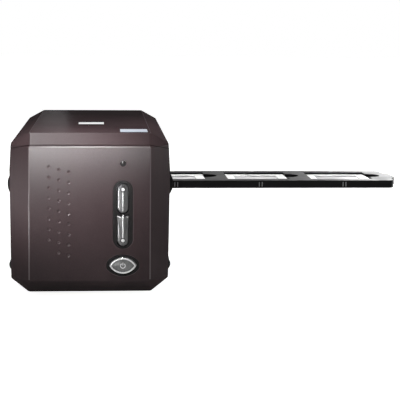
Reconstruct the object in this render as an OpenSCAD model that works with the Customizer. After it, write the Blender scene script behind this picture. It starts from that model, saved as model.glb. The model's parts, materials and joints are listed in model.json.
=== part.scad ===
// Compact 35 mm film scanner with a slide holder that passes through its sides.
// Millimetres. +X is the operator's right, +Y the back, +Z up.
// The origin is on the table, under the middle of the casing.

/* [Casing] */
// Width of the casing at its parting line
body_w = 120; // [116:0.5:140]
// Depth of the casing, front to back
body_d = 272; // [264:1:320]
// Height of the casing without its feet
body_h = 120; // [114:0.5:150]
// Thickness of the moulded walls
wall = 2.5; // [2:0.1:3]
// Depth of the bevels round the front face
front_bevel = 17.4; // [13:0.1:20]
// Depth of the bevels round the back face
rear_bevel = 12; // [9:0.1:15]
// How far the front face's upright edges lie inside the sides
face_in = 15.3; // [12:0.1:17]
// Height of the front face's lower edge above the casing's bottom
face_low = 11.3; // [8:0.1:13]
// Drop from the casing's top to the front face's upper edge
face_drop = 8.7; // [6:0.1:11]
// How far the back face's upright edges lie inside the sides
rear_in = 9; // [6:0.1:11]
// Height of the back face's lower edge above the casing's bottom
rear_low = 7; // [5:0.1:8]
// Drop from the casing's top to the back face's upper edge
rear_drop = 6.5; // [5:0.1:9]
// How far the flat top's edges lie inside the sides
top_in = 14.6; // [12:0.1:17]
// Height of the long chamfers beside the flat top
top_chamfer = 7.4; // [6:0.1:10]
// How far the flat bottom's edges lie inside the sides
bottom_in = 13.9; // [11:0.1:15]
// Height of the long chamfers beside the flat bottom
bottom_chamfer = 10.3; // [8:0.1:12]
// Draft of each side from the parting line up
draft_top = 1.2; // [0.5:0.1:1.8]
// Draft of each side from the parting line down
draft_bottom = 1.1; // [0.5:0.1:1.8]
// Height of the parting line along the sides, above the casing's bottom
parting_h = 92; // [90:0.5:96]
// Length over which the parting line climbs to the front face's upper edge
parting_slope = 72; // [60:1:80]
// How far the end panels wrap round on to the sides
panel_edge = 2; // [1.5:0.1:3]
// Depth to which the corner facets are cut
corner_cut = 0.4; // [0.3:0.05:0.8]
// Rise of the parting line above the front face's upper edge
seam_rise = 1.2; // [0.8:0.1:2]
// Width of the groove along the parting line
seam_w = 0.7; // [0.4:0.1:1]
// Depth of the groove along the parting line
seam_depth = 1; // [0.6:0.1:1.2]
// Thickness of the lips that line up the casing's pieces
lip_t = 1.2; // [1:0.1:1.6]
// Reach of those lips past each joint
lip_h = 4; // [3:0.1:5]
// Gap between a lip and the wall that it sits in
lip_gap = 0.1; // [0.05:0.01:0.2]

/* [Feet and bumpers] */
// Height of the rubber feet below the casing
foot_h = 1.2; // [1:0.1:3]
// Diameter of the rubber feet
foot_d = 14; // [10:0.5:16]
// Depth of the pocket that each foot is glued into
foot_pocket = 1; // [0.6:0.1:1.4]
// Sideways distance between the feet
foot_gap_x = 72; // [60:1:76]
// Distance of the front and rear feet from the casing's ends
foot_inset = 32; // [28:1:36]
// Length of each side bumper
bumper_l = 22; // [16:1:28]
// Height of each side bumper
bumper_h = 9; // [6:0.5:10]
// How far each side bumper stands out
bumper_out = 2.2; // [1:0.1:3]
// Height of the bumpers' middle above the casing's bottom
bumper_z = 19; // [17:0.5:24]
// Distance of the bumpers' middle from the front face
bumper_from_front = 38; // [34:1:60]

/* [Film slot] */
// Distance of the slot's middle in front of the casing's middle
slot_forward = 27.3; // [20:0.1:30]
// Height of the slot's middle above the casing's bottom
slot_h = 73.7; // [70:0.1:76]
// Gap round the holder in the slot bezels
slot_gap = 0.8; // [0.6:0.1:1.2]
// Running gap round the holder in the film gate
run_gap = 0.35; // [0.3:0.05:0.5]
// How far the slot bezels stand out from the sides
bezel_out = 5.2; // [4.4:0.1:6.5]
// Height of the slot bezels
bezel_h = 21; // [19:0.1:22]
// How far their middle lies above the slot's
bezel_rise = 1.7; // [0:0.1:2.5]
// How far each bezel runs past the slot's ends
bezel_end = 8; // [6:0.1:10]
// Wall of the sleeve that lines the slot through the casing
sleeve_t = 2.2; // [1.6:0.1:2.6]

/* [Slide holder] */
// Number of slides in the holder
slide_count = 4; // [3:1:5]
// Distance between slide centres
slide_pitch = 68; // [66:0.5:72]
// Side of a square slide mount
slide_size = 50; // [50:0.1:50.5]
// Thickness of a slide mount
slide_t = 2; // [1.4:0.1:2.4]
// Width of the picture in a slide mount
picture_w = 36; // [34:0.5:38]
// Height of the picture in a slide mount
picture_h = 24; // [22:0.5:28]
// Thickness of the film in a slide mount
film_t = 0.3; // [0.2:0.05:0.5]
// Width of the holder, front to back
holder_w = 65.5; // [64:0.1:68]
// Thickness of the holder
holder_t = 6.2; // [6:0.1:7]
// Distance from an end slide's centre to the holder's end
holder_end = 41; // [38:0.5:46]
// Radius of the holder's corners
holder_corner = 5; // [3:0.5:8]
// How far the finger tab stands out at each end of the holder
tab_out = 5; // [3:0.5:6]
// Width of a finger tab at its root
tab_root = 38; // [30:1:44]
// Width of a finger tab at its tip
tab_tip = 18; // [12:1:26]
// Thickness of the lips that hold the slides down
slide_lip_t = 1.4; // [1:0.1:1.8]
// How far those lips reach over a slide
slide_lip = 3.6; // [2:0.1:4]
// Gap round a slide in its pocket
slide_gap = 0.2; // [0.1:0.05:0.3]
// Diameter of the finger scoops between the slides
scoop_d = 20; // [14:0.5:24]
// Depth of the finger scoops
scoop_depth = 2.4; // [1.5:0.1:3]
// Height of the index marks on the holder's front edge
mark_h = 3.6; // [2:0.1:4.5]
// Width of each index mark
mark_w = 0.8; // [0.5:0.1:1.2]
// Distance between the two lines of an index mark
mark_gap = 2.3; // [1.8:0.1:3]
// How far the index marks stand out
mark_t = 0.2; // [0.1:0.05:0.25]

/* [Front controls] */
// Sideways place of the buttons and the lamp
control_x = 24.4; // [22:0.1:26]
// Diameter of the indicator lens
lamp_d = 4.4; // [4:0.1:5]
// Gap between the power button bezel and the scan button bezel
bezel_gap = 4.4; // [4:0.1:6]
// Width of the scan button bezel
scan_bezel_w = 14.7; // [13.6:0.1:15]
// Height of the scan button bezel
scan_bezel_h = 50.9; // [50:0.1:52]
// Width of the scan buttons
scan_w = 8.5; // [8:0.1:9]
// Height of both scan buttons together
scan_all_h = 46.7; // [46:0.1:47.2]
// Height of the upper scan button
scan_up_h = 22.3; // [20:0.1:23]
// Gap between the two scan buttons
scan_gap = 2.5; // [2.3:0.1:3]
// How far the ridge of the scan buttons stands out
scan_out = 2.4; // [1.8:0.1:3]
// How far the edges of the scan buttons stand out
scan_edge_out = 0.9; // [0.5:0.1:1.4]
// Gap between the front face's lower edge and the power button bezel
power_gap = 3.55; // [3:0.05:5]
// Width of the power button bezel
power_bezel_w = 24.2; // [23.6:0.1:25]
// Height of the power button bezel
power_bezel_h = 16.3; // [15.5:0.1:17]
// Width of the power button
power_w = 20.2; // [19:0.1:21]
// Height of the power button
power_btn_h = 12.1; // [11:0.1:12.8]
// How far the power button stands out
power_out = 1.8; // [1.2:0.1:2.4]
// Width of the raised rim round the power button
power_rim = 1.3; // [0.8:0.1:1.8]
// Travel of each button
press = 1; // [0.5:0.1:1.4]
// Gap round each button in its bezel
button_gap = 0.4; // [0.3:0.05:0.5]
// Depth of the pockets that the bezels sit in
bezel_pocket = 1.6; // [1.2:0.1:1.8]
// Width of the ledge that the bezels sit on
bezel_ledge = 1.3; // [1:0.1:1.5]

/* [Vents] */
// Number of vent slots in the back
vent_count = 6; // [3:1:7]
// Length of each vent slot
vent_w = 56; // [30:1:66]
// Height of each vent slot
vent_h = 2.4; // [1.5:0.1:3]
// Distance between vent slots
vent_pitch = 5; // [4:0.1:5.5]
// Height of the lowest vent slot above the casing's bottom
vent_low = 50; // [44:0.5:52]

/* [Dimples] */
// Diameter of the dimples in the front face
dimple_d = 2.5; // [1.5:0.1:3]
// Depth of the dimples
dimple_depth = 0.7; // [0.4:0.05:1]
// Sideways place of the first column of dimples
dimple_x = -30; // [-33:0.1:-28]
// Distance between the columns of dimples
dimple_step = 7.25; // [6:0.05:8]
// Height of the first column's top dimple above the casing's bottom
dimple_top = 96.6; // [94:0.1:98]
// Drop of each next column
dimple_drop = 2; // [1:0.1:3]
// Distance between dimples in a column
dimple_pitch = 7.75; // [7:0.05:7.9]

/* [Labels] */
// Thickness of the blank labels
label_t = 0.2; // [0.1:0.05:0.3]
// Width of the white label
white_w = 20.4; // [15:0.1:25]
// Length of the white label
white_l = 17.6; // [14:0.1:24]
// Distance of the white label's middle from the front face
white_from_front = 106; // [90:0.5:120]
// Width of the silver label
silver_w = 20.6; // [15:0.1:24]
// Length of the silver label
silver_l = 23.6; // [18:0.1:30]
// Sideways place of the silver label's middle
silver_x = 33; // [30:0.1:34]
// Distance of the silver label's middle from the front face
silver_from_front = 37.6; // [36:0.1:50]

/* [Scanning head] */
// Travel of the scanning carriage
scan_travel = 28; // [24:0.5:30]
// Diameter of the guide rods
rod_d = 6; // [5:0.1:7]
// Outside diameter of the bushings on the guide rods
bush_d = 10; // [9:0.1:11]
// Length of each bushing
bush_l = 12; // [10:0.5:14]
// Side of the blocks that hold the bushings
bush_block = 16; // [14:0.5:18]
// Running gap of shafts in their bushings
shaft_gap = 0.05; // [0.02:0.01:0.1]
// Fitting gap of pieces that are fixed in a bore
fit_gap = 0.03; // [0.02:0.01:0.05]
// Wall of the optical box
box_wall = 2.5; // [2:0.1:3]
// Height of the optical axis above the carriage's floor
axis_h = 22; // [20:0.5:23]
// Length of the scan mirror's slope
mirror_l = 26; // [22:0.5:28]
// Thickness of the scan mirror
mirror_t = 2; // [1.5:0.1:3]
// Outside diameter of the lens barrel
barrel_d = 18; // [16:0.5:20]
// Length of the lens barrel
barrel_l = 24; // [18:0.5:26]
// Diameter of the lens elements
lens_d = 15; // [12:0.5:15.5]
// Thickness of each lens element
lens_t = 4; // [3:0.1:5]
// Height of the gap between the holder and the lamp housing
lamp_gap = 8; // [6:0.5:10]
// Height of the lamp housing
lamp_box_h = 12; // [11:0.5:14]

/* [Drive] */
// Diameter of the lead screw
screw_d = 6; // [5.6:0.1:7]
// Diameter of the lead screw's journals
journal_d = 5; // [4:0.1:5.2]
// Outside diameter of the screw bearings
bearing_d = 9; // [8:0.1:10]
// Length of the screw bearings
bearing_l = 5; // [4:0.1:6]
// Module of the gears
gear_module = 0.7; // [0.65:0.01:0.75]
// Teeth of the screw's gear
screw_teeth = 24; // [22:2:24]
// Teeth of the motor's pinion
pinion_teeth = 16; // [14:2:18]
// Width of the gears
gear_face = 4; // [3:0.1:5]
// Play between meshing teeth
backlash = 0.14; // [0.1:0.01:0.2]
// Width of the drive nut
nut_w = 10; // [9:0.1:11]
// Length of the drive nut
nut_l = 14; // [10:0.5:18]
// Diameter of the motor
motor_d = 24; // [20:0.5:26]
// Length of the motor
motor_l = 18; // [14:0.5:20]
// Diameter of the motor's shaft
motor_shaft_d = 3; // [2.5:0.1:3.5]

/* [Chassis and gate] */
// Thickness of the chassis sheet
sheet_t = 1.5; // [1:0.1:2]
// Height of the bosses under the chassis
chassis_lift = 7.5; // [7:0.1:8.5]
// Height of the rods above the chassis plate
rod_lift = 13.8; // [13:0.1:15]
// Diameter of the posts under the film gate
post_d = 5; // [4:0.1:5.5]
// Diameter of the pegs on the posts
peg_d = 2.4; // [2:0.1:3]
// Thickness of the film gate's floor
gate_t = 3; // [2.5:0.1:3.5]
// Width of the rails beside the holder
rail_w = 3.5; // [3:0.1:4]
// Thickness of the detent spring
spring_t = 0.4; // [0.3:0.05:0.5]
// Radius of the detent spring's nose
nose_r = 2; // [1.5:0.1:2.4]

/* [Electronics] */
// Thickness of the circuit boards
board_t = 1.6; // [1.2:0.1:2]
// Height of the main board's bosses
board_lift = 7.3; // [6:0.1:8]
// Distance from the front panel's inside to the switch board
switch_board_gap = 7; // [6.5:0.1:8]
// Height of a tact switch
switch_t = 3.5; // [3:0.1:3.8]
// Side of a tact switch
switch_size = 6; // [5:0.1:7]
// Width of the USB socket
usb_w = 12; // [11.8:0.1:12.4]
// Height of the USB socket
usb_h = 10.9; // [10.5:0.1:11.5]
// Length of the USB socket
usb_l = 16; // [14:0.5:18]
// Sideways place of the USB socket
usb_x = -20; // [-26:0.5:-14]
// Width of the power jack
jack_w = 9; // [8.5:0.1:10]
// Length of the power jack
jack_l = 14; // [12:0.5:15]
// Diameter of the power jack's bore
jack_bore = 6.3; // [5.5:0.1:6.5]
// Sideways place of the power jack
jack_x = 10; // [5:0.5:16]
// Thickness of the flat cables
cable_t = 0.5; // [0.3:0.05:0.8]
// Width of the flat cables
cable_w = 14; // [10:0.5:16]

/* [Fasteners] */
// Diameter of the casing and chassis screws
screw3 = 3; // [2.5:0.1:3.2]
// Diameter of the board screws
screw2 = 2; // [1.8:0.1:2.2]
// Gap round a screw in its hole
screw_gap = 0.1; // [0.05:0.01:0.2]

/* [Hidden] */
$fn = 48;
eps = 1;
half_w = body_w / 2;
half_d = body_d / 2;
face_w = body_w - 2 * face_in;
rear_w = body_w - 2 * rear_in;
top_w = body_w - 2 * top_in;
bottom_w = body_w - 2 * bottom_in;
z_bottom = foot_h;
z_top = foot_h + body_h;
part_z = z_bottom + parting_h;
face_z0 = z_bottom + face_low;
face_z1 = z_top - face_drop;
rear_z0 = z_bottom + rear_low;
rear_z1 = z_top - rear_drop;
front_split = -half_d + front_bevel;
rear_split = half_d - rear_bevel;
slope_end = -half_d + parting_slope;
front_seam = front_split + panel_edge;
rear_seam = rear_split - panel_edge;
seam_z = face_z1 + seam_rise;
widest_z = part_z + seam_w / 2;
floor_z = z_bottom + wall;
side_in = half_w - max(draft_top, draft_bottom) - wall;

// Outlines of the casing in its three views, anticlockwise
section_points = [
    [bottom_w / 2, z_bottom],
    [half_w - draft_bottom, z_bottom + bottom_chamfer],
    [half_w, widest_z],
    [half_w - draft_top, z_top - top_chamfer],
    [top_w / 2, z_top],
    [-top_w / 2, z_top],
    [-half_w + draft_top, z_top - top_chamfer],
    [-half_w, widest_z],
    [-half_w + draft_bottom, z_bottom + bottom_chamfer],
    [-bottom_w / 2, z_bottom],
];
plan_points = [
    [face_w / 2, -half_d],
    [half_w, front_split],
    [half_w, rear_split],
    [rear_w / 2, half_d],
    [-rear_w / 2, half_d],
    [-half_w, rear_split],
    [-half_w, front_split],
    [-face_w / 2, -half_d],
];
profile_points = [
    [front_split, z_bottom],
    [rear_split, z_bottom],
    [half_d, rear_z0],
    [half_d, rear_z1],
    [rear_split, z_top],
    [front_split, z_top],
    [-half_d, face_z1],
    [-half_d, face_z0],
];

// Film slot and holder
slot_y = -slot_forward;
slot_z = z_bottom + slot_h;
holder_x0 = -holder_end;
holder_l = (slide_count - 1) * slide_pitch + 2 * holder_end;
holder_z0 = slot_z - holder_t / 2;
holder_z1 = slot_z + holder_t / 2;
pocket_size = slide_size + 2 * slide_gap;
pocket_z1 = holder_z1 - slide_lip_t;
pocket_z0 = pocket_z1 - slide_t - slide_gap;
picture_margin = 1;
notch_r = nose_r + 0.4;
notch_depth = 1.5;
sleeve_w = holder_w + 2 * slot_gap + 2 * sleeve_t;
sleeve_h = holder_t + 2 * slot_gap + 2 * sleeve_t;

// Film gate, carriage and drive
gate_x = side_in - 2.3;
gate_z1 = holder_z0 - run_gap;
gate_z0 = gate_z1 - gate_t;
rail_z1 = holder_z1 + 0.8;
gate_near = slot_y - holder_w / 2 - run_gap - rail_w;
gate_far = slot_y + holder_w / 2 + run_gap + rail_w;
post_x = gate_x - 3;
plate_z = floor_z + chassis_lift;
plate_z1 = plate_z + sheet_t;
rod_z = plate_z1 + rod_lift;
screw_x = post_x - post_d / 2 - 0.5 - nut_w / 2;
rod_x = screw_x - nut_w / 2 - bush_block / 2;
box_x = rod_x - bush_block / 2;
scan_y = slot_y - scan_travel / 2;
carriage_front = scan_y - 24;
mast_t = 8;
mast_front = gate_far + 2;
carriage_rear = mast_front + mast_t;
carriage_z0 = rod_z - bush_block / 2;
carriage_floor_t = 4;
carriage_floor = carriage_z0 + carriage_floor_t;
lid_t = 2;
lid_z1 = gate_z0 - 2;
lid_z0 = lid_z1 - lid_t;
axis_z = carriage_floor + axis_h;
mirror_back = mirror_t / sqrt(2);
mirror_run = mirror_l / 2 / sqrt(2);
barrel_front = scan_y + 18;
sensor_board_y = mast_front - board_t;
lamp_z0 = holder_z1 + lamp_gap;
lamp_z1 = lamp_z0 + lamp_box_h;
lamp_front = scan_y - 9;
diffuser_t = 2;
slit_w = 3;
sensor_t = 3;
sensor_h = 9;
sensor_rise = 14;
lamp_roof = 2;
diffuser_rim = 2;
diffuser_w = 14;
cavity_rim = 3.5;
cavity_w = 11;
lamp_board_rim = 4;
lamp_board_w = 10;
led_count = 7;
led_w = 2.8;
led_t = 1;
led_reach = box_x - lamp_board_rim - 1.5 * led_w;
led_pitch = 2 * led_reach / (led_count - 1);
gear_y0 = carriage_rear + scan_travel + 3;
gear_y1 = gear_y0 + gear_face;
front_flange = carriage_front - 8 - sheet_t;
rear_flange = gear_y1 + bearing_l - sheet_t + 0.5;
flange_z1 = rod_z + 12;
gear_distance = gear_module * (screw_teeth + pinion_teeth) / 2;
gear_angle = 120;
motor_x = screw_x + gear_distance * cos(gear_angle);
motor_z = rod_z + gear_distance * sin(gear_angle);
motor_y0 = rear_flange + sheet_t;
motor_y1 = motor_y0 + motor_l;
chassis_screw_x = screw_x + 2.5;
chassis_screw_y = [front_flange + 6, rear_flange - 5];
home_x = -rod_x - bush_block / 2 - 6;
flag_y = carriage_front + 20;

// Boards
board_front = motor_y1 + 4;
board_rear = half_d - wall - 3.5;
board_x = side_in - 12.3;
board_z0 = floor_z + board_lift;
board_z1 = board_z0 + board_t;
board_hole_x = board_x - 3;
board_hole_y = [board_front + 4, rear_seam - lip_h - 4];
processor_size = 14;
memory_w = 8;
memory_l = 12;
memory_pitch = 11;
driver_w = 10;
driver_l = 7;
capacitor_d = 6.3;
capacitor_h = 8;
capacitor_back = 11;
chip_margin = 2;
connector_l = 5;
chip_y = board_front + connector_l + 1 + processor_size / 2;
processor_x = (usb_x + usb_w / 2 + jack_x - jack_w / 2) / 2;
memory_x = jack_x + jack_w / 2 + chip_margin + memory_w / 2;
driver_x = usb_x - usb_w / 2 - chip_margin - driver_w / 2;
panel_in = -half_d + wall;
switch_board_y = panel_in + switch_board_gap;
switch_front = switch_board_y - switch_t;
plunger_d = 3.2;
plunger_gap = 0.2;
plunger_in = 0.5;

// Buttons, stacked from the front face's lower edge, with the lamp midway above them
power_z = face_z0 + power_gap + power_bezel_h / 2;
power_bezel_top = power_z + power_bezel_h / 2;
scan_z = power_bezel_top + bezel_gap + scan_bezel_h / 2;
scan_bezel_top = scan_z + scan_bezel_h / 2;
lamp_z = (scan_bezel_top + face_z1) / 2;
scan_top = scan_z + scan_all_h / 2;
scan_low = scan_z - scan_all_h / 2;
nest_z = scan_top - scan_up_h + scan_w / 2;
nest_r = scan_w / 2 + scan_gap;
upper_z = scan_top - scan_up_h / 2;
lower_top = nest_z - nest_r;
lower_z = (lower_top + scan_low) / 2;
bezel_back = -half_d + wall + 0.6;
flange_grow = 1;
flange_front = bezel_back + 0.3;
flange_back = switch_front - press - 0.4;

// Switch board, with its screws beside and just above the bezels
switch_hole_gap = 3.65;
switch_hole_rise = 2.25;
switch_board_edge = 2.5;
lamp_edge = 4;
switch_hole_side = scan_bezel_w / 2 + switch_hole_gap;
switch_hole_x = [control_x - switch_hole_side, control_x + switch_hole_side];
switch_hole_z = [power_bezel_top + switch_hole_rise, scan_bezel_top + switch_hole_rise];
switch_board_x = [switch_hole_x[0] - switch_board_edge, switch_hole_x[1] + switch_board_edge];
switch_board_z = [face_z0 + power_gap / 3, lamp_z + lamp_edge];

// Casing screws
tube_d = 9;
tube_x = side_in - tube_d / 2 - 0.8;
tube_y = [front_split + 12, rear_split - 12];
tube_top = part_z - lip_h - 2;
tube_seat = tube_top - 8;
casing_screw_l = 18;
board_screw_l = 6;
head3_d = 2 * screw3;
head3_t = 2.2;
head2_d = 2 * screw2;
head2_t = 1.4;

// Geometry helpers
// Radius of the arc over a chord
function arc_r(chord, rise) = (chord * chord / 4 + rise * rise) / (2 * rise);
function left_normal(a, b) = [a[1] - b[1], b[0] - a[0]] / norm(b - a);
function meet(p, u, q, v) = p + u * cross(q - p, v) / cross(u, v);
// A convex anticlockwise outline, moved inwards by t
function inset(p, t) = [
    for (i = [0 : len(p) - 1])
        let (
            a = p[(i + len(p) - 1) % len(p)],
            b = p[i],
            c = p[(i + 1) % len(p)]
        )
        meet(b + left_normal(a, b) * t, b - a, b + left_normal(b, c) * t, c - b)
];
function unit(v) = v / norm(v);
// The corner facets: side, end and height choose one of the eight corners
function corner_facet(side, end, high) = [
    [
        side * (half_w - (high ? draft_top : draft_bottom)),
        end > 0 ? rear_split : front_split,
        high ? z_top - top_chamfer : z_bottom + bottom_chamfer,
    ],
    [
        side * (end > 0 ? rear_w : face_w) / 2,
        end * half_d,
        high ? (end > 0 ? rear_z1 : face_z1) : (end > 0 ? rear_z0 : face_z0),
    ],
    [
        side * (high ? top_w : bottom_w) / 2,
        end > 0 ? rear_split : front_split,
        high ? z_top : z_bottom,
    ],
];
function facet_normal(f) =
    let (
        n = unit(cross(f[1] - f[0], f[2] - f[0])),
        out = f[0] - [0, 0, (z_bottom + z_top) / 2]
    )
    n * out > 0 ? n : -n;

// Everything on the outer side of a plane
module beyond(point, normal) {
    reach = 60;
    translate(point)
        rotate([0, acos(normal[2]), atan2(normal[1], normal[0])])
            translate([-reach / 2, -reach / 2, 0])
                cube(reach);
}

// A flat outline in X and Z, drawn out along Y from y0 to y1
module along_y(y0, y1) {
    translate([0, y1, 0])
        rotate([90, 0, 0])
            linear_extrude(y1 - y0)
                children();
}

// A flat outline in Y and Z, drawn out along X from x0 to x1
module along_x(x0, x1) {
    translate([x0, 0, 0])
        rotate([90, 0, 90])
            linear_extrude(x1 - x0)
                children();
}

module rod_y(d, x, z, y0, y1) {
    along_y(y0, y1)
        translate([x, z])
            circle(d = d);
}

// A box from its lowest to its highest corner
module block(low, high) {
    translate(low)
        cube(high - low);
}

module both_sides() {
    children();
    mirror([1, 0, 0])
        children();
}

module pill(w, h) {
    square([w, h - w], center = true);
    for (s = [-1, 1])
        translate([0, s * (h - w) / 2])
            circle(d = w);
}

module rounded(w, h, r) {
    square([w - 2 * r, h], center = true);
    square([w, h - 2 * r], center = true);
    for (sx = [-1, 1])
        for (sy = [-1, 1])
            translate([sx * (w / 2 - r), sy * (h / 2 - r)])
                circle(r = r);
}

// Two crossing arcs, grown outwards by g
module eye(w, h, g = 0) {
    r = arc_r(w, h / 2);
    intersection_for(s = [-1, 1])
        translate([0, s * (r - h / 2)])
            circle(r = r + g);
}

// Solid inside the casing's outer surface, moved inwards by t
module casing(t = 0) {
    difference() {
        intersection() {
            along_y(-half_d - eps, half_d + eps)
                polygon(inset(section_points, t));
            linear_extrude(z_top + eps)
                polygon(inset(plan_points, t));
            along_x(-half_w - eps, half_w + eps)
                polygon(inset(profile_points, t));
        }
        for (side = [-1, 1])
            for (end = [-1, 1])
                for (high = [true, false]) {
                    f = corner_facet(side, end, high);
                    n = facet_normal(f);
                    beyond(f[0] - n * (t + corner_cut), n);
                }
    }
}

// Space between two heights measured from the parting line
module parting_band(low, high) {
    along_x(-half_w - eps, half_w + eps)
        polygon([
            [-half_d - eps, seam_z + low],
            [-half_d, seam_z + low],
            [slope_end, part_z + low],
            [half_d + eps, part_z + low],
            [half_d + eps, part_z + high],
            [slope_end, part_z + high],
            [-half_d, seam_z + high],
            [-half_d - eps, seam_z + high],
        ]);
}

// Space between two places front to back
module y_band(y0, y1) {
    block([-half_w - eps, y0, -eps], [half_w + eps, y1, z_top + eps]);
}

module casing_skin(t0, t1) {
    difference() {
        casing(t0);
        casing(t1);
    }
}

module lower_shell(y0, y1) {
    intersection() {
        casing_skin(0, wall);
        parting_band(-body_h, 0);
        y_band(y0, y1);
    }
}

// Lip that lines up an end panel with the tub, standing past the joint between them
module panel_lip(y0, y1, root0, root1) {
    intersection() {
        union() {
            intersection() {
                casing_skin(wall + lip_gap, wall + lip_gap + lip_t);
                y_band(y0, y1);
            }
            intersection() {
                casing_skin(wall / 2, wall + lip_gap + lip_t);
                y_band(root0, root1);
            }
        }
        parting_band(-body_h, -lip_h - 1);
    }
}

// Casing
module base_tub() {
    color([0.29, 0.25, 0.25])
        difference() {
            union() {
                lower_shell(front_seam, rear_seam);
                panel_lip(front_seam - lip_h, front_seam + lip_h, front_seam, front_seam + lip_h);
                panel_lip(rear_seam - lip_h, rear_seam + lip_h, rear_seam - lip_h, rear_seam);
            }
            both_sides()
                for (y = tube_y)
                    translate([tube_x, y, -eps])
                        cylinder(d = head3_d + 0.5, h = tube_seat);
            both_sides()
                for (y = [-half_d + foot_inset, half_d - foot_inset])
                    translate([foot_gap_x / 2, y, z_bottom - eps])
                        cylinder(d = foot_d + 2 * fit_gap, h = foot_pocket + eps);
            block(
                [-half_w - eps, slot_y - sleeve_w / 2, slot_z - sleeve_h / 2],
                [half_w + eps, slot_y + sleeve_w / 2, slot_z + sleeve_h / 2]
            );
        }
}

// Wells for the casing screws, standing on the tub's inside
module screw_wells() {
    color([0.29, 0.25, 0.25])
        difference() {
            intersection() {
                casing(wall);
                both_sides()
                    for (y = tube_y)
                        translate([tube_x, y, 0])
                            cylinder(d = tube_d, h = tube_top);
            }
            both_sides()
                for (y = tube_y) {
                    translate([tube_x, y, -eps])
                        cylinder(d = head3_d + 0.5, h = tube_seat + eps);
                    translate([tube_x, y, tube_seat - eps])
                        cylinder(d = screw3 + 2 * screw_gap, h = tube_top);
                }
        }
}

// Bosses under the chassis and the main board
module floor_bosses() {
    color([0.29, 0.25, 0.25])
        difference() {
            intersection() {
                casing(wall);
                both_sides() {
                    for (y = chassis_screw_y)
                        translate([chassis_screw_x, y, 0])
                            cylinder(d = 8, h = plate_z);
                    for (y = board_hole_y)
                        translate([board_hole_x, y, 0])
                            cylinder(d = 7, h = board_z0);
                }
            }
            both_sides() {
                for (y = chassis_screw_y)
                    translate([chassis_screw_x, y, plate_z - chassis_lift + 1])
                        cylinder(d = screw3 + 2 * screw_gap, h = chassis_lift);
                for (y = board_hole_y)
                    translate([board_hole_x, y, board_z0 - board_lift + 1])
                        cylinder(d = screw2 + 2 * screw_gap, h = board_lift);
            }
        }
}

module top_cover() {
    color([0.30, 0.26, 0.26])
        difference() {
            union() {
                difference() {
                    union() {
                        intersection() {
                            casing(0);
                            parting_band(seam_w, body_h);
                        }
                        intersection() {
                            casing(seam_depth);
                            parting_band(0, body_h);
                        }
                    }
                    casing(wall);
                }
                intersection() {
                    casing_skin(wall + lip_gap, wall + lip_gap + lip_t);
                    parting_band(-lip_h, lip_h);
                }
                intersection() {
                    casing_skin(wall / 2, wall + lip_gap + lip_t);
                    parting_band(0, lip_h);
                }
                intersection() {
                    casing(wall / 2);
                    both_sides()
                        for (y = tube_y)
                            translate([tube_x, y, tube_top])
                                cylinder(d = tube_d, h = body_h);
                }
                intersection() {
                    casing(wall / 2);
                    parting_band(lip_h / 2, body_h);
                    both_sides()
                        for (y = tube_y)
                            block([tube_x, y - wall / 2, tube_top], [half_w, y + wall / 2, z_top]);
                }
            }
            both_sides()
                for (y = tube_y)
                    translate([tube_x, y, tube_top - eps])
                        cylinder(d = screw3 + 2 * screw_gap, h = 12 + eps);
        }
}

module at_switch_screws() {
    for (x = switch_hole_x)
        for (z = switch_hole_z)
            translate([x, 0, z])
                children();
}

module scan_bezel_outline(g = 0) {
    translate([control_x, scan_z])
        pill(scan_bezel_w + 2 * g, scan_bezel_h + 2 * g);
}

module power_bezel_outline(g = 0) {
    translate([control_x, power_z])
        intersection() {
            eye(1.12 * power_bezel_w, power_bezel_h, g);
            circle(d = power_bezel_w + 2 * g);
        }
}

module front_panel() {
    dimple_r = arc_r(dimple_d, dimple_depth);
    color([0.31, 0.27, 0.27])
        difference() {
            union() {
                lower_shell(-half_d - eps, front_seam);
                at_switch_screws()
                    rod_y(5.5, 0, 0, panel_in - wall / 2, switch_board_y);
            }
            at_switch_screws()
                rod_y(screw2 + 2 * screw_gap, 0, 0, panel_in, switch_board_y + eps);
            rod_y(lamp_d + 2 * fit_gap, control_x, lamp_z, -half_d - eps, panel_in + eps);
            along_y(-half_d - eps, -half_d + bezel_pocket) {
                scan_bezel_outline();
                power_bezel_outline();
            }
            along_y(-half_d, panel_in + eps) {
                scan_bezel_outline(-bezel_ledge);
                power_outline(button_gap);
            }
            for (column = [0 : 2])
                for (row = [0 : (column == 0 ? 7 : 8)])
                    translate([
                        dimple_x + column * dimple_step,
                        -half_d - dimple_r + dimple_depth,
                        z_bottom + dimple_top - column * dimple_drop - row * dimple_pitch,
                    ])
                        sphere(r = dimple_r);
        }
}

module rear_panel() {
    color([0.26, 0.23, 0.23])
        difference() {
            lower_shell(rear_seam, half_d + eps);
            block(
                [usb_x - usb_w / 2 - 0.2, rear_split, board_z1 - 0.2],
                [usb_x + usb_w / 2 + 0.2, half_d + eps, board_z1 + usb_h + 0.2]
            );
            block(
                [jack_x - jack_w / 2 - 0.2, rear_split, board_z1 - 0.2],
                [jack_x + jack_w / 2 + 0.2, half_d + eps, board_z1 + usb_h + 0.2]
            );
            for (i = [0 : vent_count - 1])
                along_y(half_d - 2 * wall, half_d + eps)
                    translate([0, z_bottom + vent_low + i * vent_pitch])
                        rotate(90)
                            pill(vent_h, vent_w);
        }
}

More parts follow.
